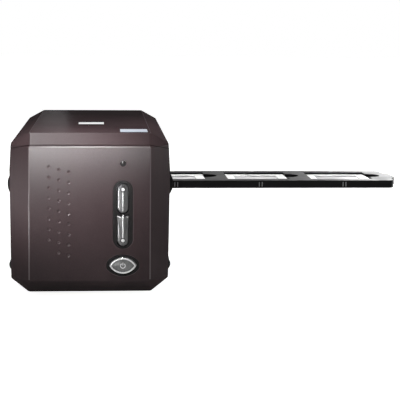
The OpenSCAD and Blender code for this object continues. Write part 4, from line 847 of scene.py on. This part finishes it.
def bar_mark(name, body, low, high, depth):
    """Flat bar on a surface facing the front."""
    bm = bmesh.new()
    corners = [(low[0], low[1]), (high[0], low[1]), (high[0], high[1]), (low[0], high[1])]
    front = [bm.verts.new((x * MM, (depth - GLYPH_LIFT) * MM, z * MM)) for x, z in corners]
    back = [bm.verts.new((x * MM, (depth + GLYPH_SINK) * MM, z * MM)) for x, z in corners]
    bm.faces.new(front)
    bm.faces.new(list(reversed(back)))
    for i in range(4):
        j = (i + 1) % 4
        bm.faces.new((front[i], back[i], back[j], front[j]))
    bmesh.ops.recalc_face_normals(bm, faces=bm.faces)
    thing = object_from(bm, name, GLYPH_AND_RIDGE_HIGHLIGHT)
    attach(thing, body)


low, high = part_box("power_button")
power_z = (low[2] + high[2]) / 2 / MM
power_button(power_z)
power_face(CONTROL_X, power_z)
crown = -HALF_D - POWER_OUT + POWER_DISH + POWER_SINK - POWER_DOME
ring_mark("power_arc", "power", (CONTROL_X, power_z), ARC_INNER, ARC_OUTER, ARC_START, ARC_END, crown)
bar_low = (CONTROL_X - BAR_HALF_W, power_z + BAR_LOW)
bar_high = (CONTROL_X + BAR_HALF_W, power_z + BAR_HIGH)
bar_mark("power_bar", "power", bar_low, bar_high, crown)


# Stage: strengths of the room and the floor, and sizes in metres
WORLD_FILL, FLOOR_GLOW, FLOOR_R = 0.1, 0.92, 6.0
SPOT_R, SOFTBOX_W, SOFTBOX_H = 0.03, 0.5, 0.4


def background_rays(tree):
    """Output that is 1 for rays that show the background: seen, mirrored or seen through."""
    path = add_node(tree, "ShaderNodeLightPath")
    first = add_node(tree, "ShaderNodeMath", operation="MAXIMUM")
    both = add_node(tree, "ShaderNodeMath", operation="MAXIMUM")
    tree.links.new(path.outputs["Is Camera Ray"], first.inputs[0])
    tree.links.new(path.outputs["Is Glossy Ray"], first.inputs[1])
    tree.links.new(first.outputs["Value"], both.inputs[0])
    tree.links.new(path.outputs["Is Transmission Ray"], both.inputs[1])
    return both


def make_world():
    world = bpy.data.worlds.new("studio")
    scene.world = world
    world.use_nodes = True
    tree = world.node_tree
    background = tree.nodes["Background"]
    shown = background_rays(tree)
    level = add_node(tree, "ShaderNodeMapRange")
    set_input(level, "To Min", WORLD_FILL)
    set_input(level, "To Max", 1.0)
    link(tree, shown, "Value", level, "Value")
    link(tree, level, "Result", background, "Strength")
    set_input(background, "Color", rgba(grey(1.0)))


def make_floor():
    bm = bmesh.new()
    bmesh.ops.create_circle(bm, cap_ends=True, segments=64, radius=FLOOR_R)
    material, tree, shader = new_material("pale_floor")
    coords = add_node(tree, "ShaderNodeTexCoord")
    soft = noise(tree, coords, 3.0)
    colour_by(tree, shader, soft, "Fac", grey(0.66), grey(0.7))
    set_input(shader, "Roughness", 0.9)
    set_input(shader, "Specular IOR Level", 0.1)
    set_input(shader, "Emission Color", rgba(grey(1.0)))
    shown = background_rays(tree)
    level = add_node(tree, "ShaderNodeMath", operation="MULTIPLY")
    level.inputs[1].default_value = FLOOR_GLOW
    tree.links.new(shown.outputs["Value"], level.inputs[0])
    link(tree, level, "Value", shader, "Emission Strength")
    floor = object_from(bm, "floor", material)


def make_light(name, kind, energy, place, aim, **values):
    data = bpy.data.lights.new(name, kind)
    data.energy = energy
    for key, value in values.items():
        setattr(data, key, value)
    lamp = bpy.data.objects.new(name, data)
    scene.collection.objects.link(lamp)
    lamp.location = place
    lamp.rotation_mode = "QUATERNION"
    lamp.rotation_quaternion = (Vector(aim) - Vector(place)).to_track_quat("-Z", "Y")
    lamp.visible_camera = False


def make_spot(name, energy, place, aim, cone):
    make_light(
        name, "SPOT", energy, place, aim,
        shadow_soft_size=SPOT_R, spot_size=math.radians(cone), spot_blend=1.0,
    )


def make_softbox(name, energy, place, aim):
    make_light(name, "AREA", energy, place, aim, shape="RECTANGLE", size=SOFTBOX_W, size_y=SOFTBOX_H)


make_world()
make_floor()

# Middle of the indicator lens's front, where its lamp aims
lens_low, lens_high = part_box("indicator_lens")
lens_middle = (lens_low + lens_high) / 2
lens_middle.y = lens_low.y

# Lamps: power in watts, then place and aim in metres, then the cone in degrees
make_light("sun_fill", "SUN", 0.1, (0.2, -0.5, 0.9), (0.0, 0.0, 0.0), angle=math.radians(30))
make_spot("roof_spot", 11.0, (-0.02, -0.05, 0.9), (-0.02, -0.05, 0.12), 22.0)
make_spot("holder_spot", 18.0, (0.15, -0.03, 0.8), (0.15, -0.03, 0.078), 22.0)
make_spot("front_spot", 13.0, (-0.1, -0.736, 0.1), (-0.05, -0.136, 0.12), 23.0)
make_spot("brow_left", 11.5, (-0.05, -0.736, 0.1), (-0.01, -0.136, 0.142), 13.0)
make_spot("brow_right", 8.0, (0.035, -0.736, 0.1), (0.025, -0.136, 0.146), 12.0)
make_spot("key_spot", 15.0, (-0.41, -0.61, 0.37), (-0.015, -0.136, 0.08), 11.0)
make_spot("edge_spot", 12.0, (-0.45, -0.5, 0.06), (-0.07, -0.13, 0.07), 8.0)
make_spot("crest_spot", 32.0, (-0.05, -0.46, 0.62), (-0.01, -0.136, 0.125), 11.0)
make_spot("button_spot", 0.7, (-0.28, -0.53, 0.05), (0.024, -0.137, 0.055), 11.0)
make_spot("side_spot", 5.5, (-0.286, -0.2, 0.014), (0.024, -0.137, 0.06), 10.0)
make_spot("flank_spot", 7.0, (-0.279, -0.312, 0.009), (0.024, -0.137, 0.06), 9.0)
make_spot("rim_spot", 16.0, (0.0, -0.25, 0.6), (0.024, -0.138, 0.02), 7.0)
make_spot("lens_spot", 100.0, (-0.41, -0.61, 0.37), lens_middle, 0.9)
make_spot("low_spot", 0.5, (-0.44, -0.05, 0.03), (-0.055, -0.125, 0.06), 16.0)
make_spot("graze_spot", 0.7, (-0.06, 0.48, 0.175), (-0.05, -0.13, 0.121), 6.0)
make_light(
    "top_softbox", "AREA", 0.115, (-0.12, 0.134, 0.543), (-0.02, -0.127, 0.117),
    shape="RECTANGLE", size=0.24, size_y=0.08, spread=math.radians(30),
)
make_softbox("back_softbox", 6.0, (0.6, 0.85, 0.3), (0.0, 0.12, 0.06))
make_softbox("right_softbox", 4.0, (0.9, 0.25, 0.2), (0.08, 0.0, 0.06))
make_softbox("left_softbox", 5.0, (-0.8, 0.6, 0.2), (-0.08, 0.0, 0.06))

scene.view_settings.view_transform = "Standard"
